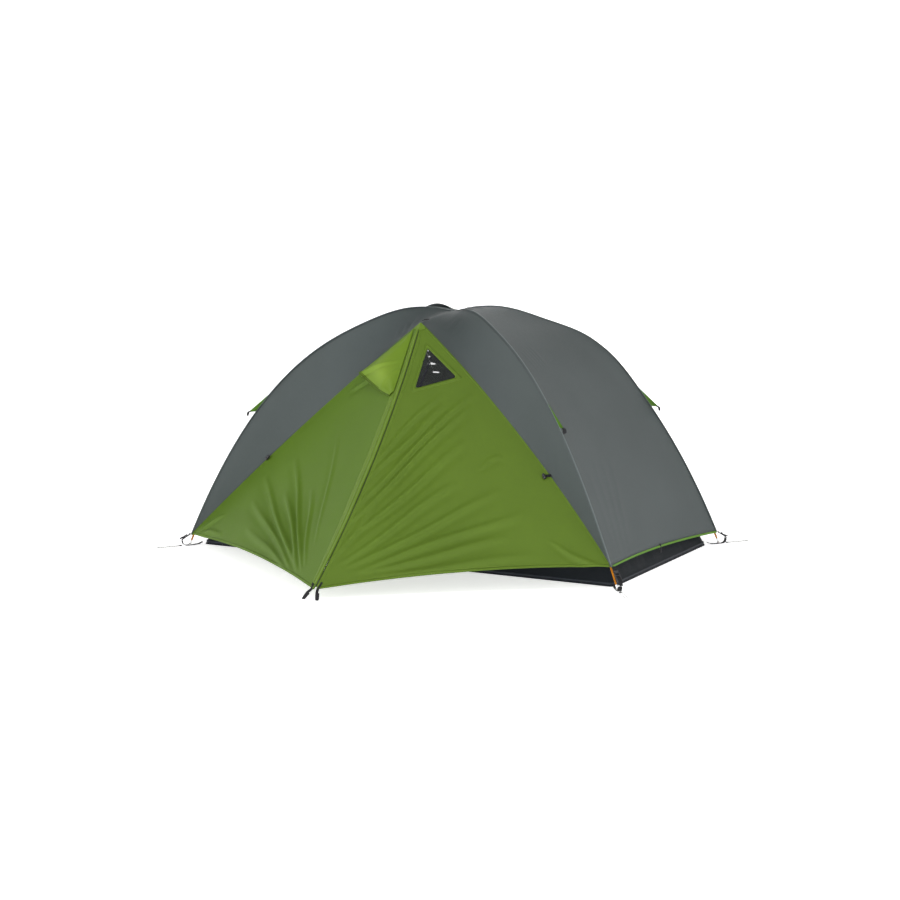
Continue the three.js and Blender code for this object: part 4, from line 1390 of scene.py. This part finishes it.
def build_clips(made):
    """Hooks that hang the inner tent from the poles, each on a short tape."""
    hooks, tapes = [], []
    for end in (1, -1):
        for side in (1, -1):
            drop = POLE_DROP[end * side]
            for s in CLIP_PLACES:
                centre = pole_centre(end, side, s, drop)
                along = unit(pole_centre(end, side, s + 0.01, drop) - pole_centre(end, side, s - 0.01, drop))
                low = inner_seam(end, side, s)
                reach = unit(low - centre)
                across = unit(np.cross(along, reach))
                angle = np.radians(np.linspace(-140, 140, 22))
                hook = np.outer(np.cos(angle), reach) + np.outer(np.sin(angle), across)
                hooks.append(tube_parts(centre + CLIP_RADIUS * hook, 0.0020, 8))
                tapes.append(strip_parts(np.linspace(centre + reach * 0.0085, low, 8), along, TAB_WIDTH))
    for name, parts, slot, look in (("pole_clips", hooks, "black_plastic", "plastic"),
                                    ("pole_clip_tapes", tapes, "webbing", "webbing")):
        finish_piece(mesh_object(name, *joined_parts(parts)), "root", slot, made[look])


# ---- Poles ----
def build_poles(made):
    """Anodised tube sections, with a bare ferrule where each joins the next and a tip at each foot."""
    for name, mirror in (("pole_a", 1), ("pole_b", -1)):
        line = []
        for share in np.linspace(-POLE_END, POLE_END, 241):
            end = -1 if share < 0 else 1
            line.append(pole_centre(end, end * mirror, abs(share), POLE_DROP[mirror]))
        line = np.array(line)
        run = lengths(line)
        along = lambda distance: np.stack([np.interp(distance, run, line[:, i]) for i in range(3)], -1)
        for i in range(POLE_SECTIONS):
            start = run[-1] * i / POLE_SECTIONS + (0.0004 if i else 0)
            end = run[-1] * (i + 1) / POLE_SECTIONS
            piece = tube(f"{name}_tube_{i + 1}", along(np.linspace(start, end, 40)), POLE_RADIUS, 16)
            finish_piece(piece, "root", "pole", made["pole"], [f"{name}_section_{i + 1}"])
            if i:
                joint = tube(f"{name}_ferrule_{i}", along(np.linspace(start - 0.016, start + 0.016, 9)),
                             POLE_RADIUS + 0.0004 - 0.0003 * np.abs(np.linspace(-1, 1, 9)) ** 6, 16)
                finish_piece(joint, "root", "pole", made["steel"])
        for word, distance, back in (("left", 0, 1), ("right", run[-1], -1)):
            span = distance + back * np.array([0.0, 0.004, 0.010, 0.020, 0.022])
            tip = tube(f"{name}_tip_{word}", along(span), (0.0030, 0.0046, 0.0048, 0.0048, 0.0044), 16)
            finish_piece(tip, "root", "pole", made["steel"])
    y = np.linspace(-0.328, 0.328, 60)
    line = np.stack([0 * y, y, CROWN - 0.007 - 0.024 * (y / 0.340) ** 2], 1)
    finish_piece(tube("brow_pole_tube", line, POLE_RADIUS, 16), "root", "pole", made["pole"], ["brow_pole"])
    build_hub(made)


def build_hub(made):
    """Swivel clip that holds the three poles where they cross."""
    angle = np.linspace(0, 2 * pi, 33)
    ring = 0.013 * pair(np.cos(angle), np.sin(angle))
    parts = [tube_parts(raised(ring, height), 0.0022, 10) for height in (CROWN - 0.0165, CROWN - 0.0275)]
    post = raised(np.zeros((6, 2)), np.linspace(CROWN - 0.040, CROWN - 0.033, 6))
    parts.append(tube_parts(post, (0.004, 0.009, 0.010, 0.010, 0.009, 0.006), 20))
    finish_piece(mesh_object("pole_hub", *joined_parts(parts)), "root", "black_plastic", made["plastic"])


# ---- Corners ----
def corner_line(end, side):
    """Place out along the ground from a floor corner through its pole foot, with its two directions.

    The place is a function of the reach, the height and the shift sideways.
    """
    start = np.array([end * TUB_BASE[0], side * TUB_BASE[1], 0.0])
    foot = pole_centre(end, side, 1.0, 0.0)
    foot[2] = 0
    out = unit(foot - start)
    across = np.array([-out[1], out[0], 0])
    return (lambda reach, z, shift=0.0: start + out * reach + across * shift + (0, 0, z)), across, out


def corner_name(end, side):
    return f"{'front' if side < 0 else 'back'}_{'right' if end > 0 else 'left'}"


def build_cords(made):
    """Loop of thin cord at each corner for a stake, lying on the ground."""
    for end in (1, -1):
        for side in (1, -1):
            at, _, _ = corner_line(end, side)
            half, far, height = 0.0065, 0.226, CORD_RADIUS + 0.0002
            bend = np.radians(np.linspace(-90, 90, 7))
            route = [at(0.111, height, -half), at(0.150, height, -half - 0.0015), at(0.190, height, -half)]
            route += [at(far + half * cos(a), height, half * sin(a)) for a in bend]
            route += [at(0.190, height, half), at(0.150, height, half + 0.0015), at(0.111, height, half)]
            path = smooth_path(route, 8)
            name = corner_name(end, side)
            cord = tube(f"{name}_stake_loop", path, CORD_RADIUS, 10)
            finish_piece(cord, "root", "cord", made["cord"], [f"{name}_stake_cord"])
            knot = knot_piece(f"{name}_cord_knot", at(0.113, height + 0.0012), at(0.120, 0) - at(0.113, 0))
            finish_piece(knot, "root", "cord", made["webbing"])
            round(float(lengths(path)[-1]), 4)


def knot_piece(name, centre, out):
    """Overhand knot: a short trefoil of cord."""
    t = np.linspace(0, 2 * pi, 61)
    out = unit(out)
    side = np.array([-out[1], out[0], 0])
    axes = np.stack([side, out, (0, 0, 0.8)])
    curve = np.stack([np.sin(t) + 2 * np.sin(2 * t), np.cos(t) - 2 * np.cos(2 * t), -np.sin(3 * t)], 1)
    path = centre + 0.0019 * curve @ axes
    path[:, 2] = np.maximum(path[:, 2], 0.0014)
    return tube(name, path, 0.0013, 8)


def build_corner(end, side, made):
    """Webbing under the pole foot, its eyelet, and the strap and buckle up to the fly."""
    at, across, out = corner_line(end, side)
    name = corner_name(end, side)
    profile = ((0.002, 0.012), (0.018, 0.0050), (0.034, 0.0030), (0.056, 0.0016), (0.076, 0.0015),
               (0.094, 0.0045), (0.103, 0.015), (0.104, 0.026))
    path = smooth_path([at(reach, z) for reach, z in profile], 6)
    webbing(f"{name}_floor_strap", path, across, FLOOR_STRAP_WIDTH, made, [f"{name}_corner_strap"],
            thickness=0.0017)

    foot = pole_centre(end, side, POLE_END, 0.0)
    angle = np.linspace(0, 2 * pi, 41)
    reach = float((foot - at(0, 0)) @ out)
    ring = [at(reach + EYELET_RADIUS * cos(a), 0.0046, EYELET_RADIUS * sin(a)) for a in angle]
    eyelet = tube(f"{name}_eyelet", np.array(ring), 0.0021, 10)
    finish_piece(eyelet, "root", "pole", made["steel"])

    corner = seam(end, side, corner_place(end, side))
    outward = unit(np.array([end, side, 0.3]))
    beside = across * 0.011 * np.sign(across[0] * end)
    top = corner + outward * 0.006 - np.array([0, 0, 0.004]) + beside
    low = at(0.1045, 0.028) + beside * 0.6
    middle = mix(top, low, 0.5)
    sewn = top - outward * 0.002 + np.array([0, 0, 0.006])
    path = smooth_path([sewn, top, middle + outward * 0.002, low], 8)
    webbing(f"{name}_fly_strap", path, across, STRAP_WIDTH, made)
    along = unit(low - top)
    face = unit(np.cross(across, along))
    face = face * np.sign(face @ outward)
    centre = middle + outward * 0.005
    half = 0.225 * float(np.linalg.norm(top - low))
    parts = []
    for shift in (-0.0105, 0.0105):
        rail = centre + across * shift
        parts.append(strip_parts(np.linspace(rail - along * half, rail + along * half, 6), across, 0.0040,
                                 thickness=0.0042, crown=0.0006))
    for place_along in (-0.96, -0.35, 0.30, 0.96):
        bar = centre + along * half * place_along
        parts.append(tube_parts(np.linspace(bar - across * 0.010, bar + across * 0.010, 6), 0.0019, 10))
    lever = np.linspace(centre - along * half, centre - along * half * 1.5 + face * 0.004, 5)
    parts.append(strip_parts(lever, across, 0.018, thickness=0.0022, crown=0.0008))
    buckle = mesh_object(f"{name}_ladder_buckle", *joined_parts(parts))
    finish_piece(buckle, "root", "black_plastic", made["plastic"], [f"{name}_fly_buckle"])
    tail = smooth_path([centre + along * half * 0.3 + face * 0.002,
                        centre + along * half * 0.9 + face * 0.005,
                        centre + along * (half * 1.2 + 0.012) + face * 0.006], 6)
    webbing(f"{name}_strap_tail", tail, across, STRAP_WIDTH, made)


# ---- Put together ----
made = build_materials()
build_stage()
build_cords(made)
build_canopy(made)
build_seams(made)
build_fly_details(made)
for half in SIDES:
    build_door(half, "window", WINDOW_DOOR, WINDOW, made)
    build_door(half, "vent", VENT_DOOR, VENT_HOLE, made)
    build_window(half, made)
    build_zip(half, made)
    build_hood(half, made)
build_tub(made)
build_inner(made)
build_poles(made)
for x_end in (1, -1):
    for y_side in (1, -1):
        build_corner(x_end, y_side, made)
for node in [f"{half}_{part}" for half in SIDES for part in ("zip_slider", "vent_strut")]:
    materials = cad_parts[node].data.materials
    materials.clear()
    materials.append(made["plastic"])

bpy.context.view_layer.update()
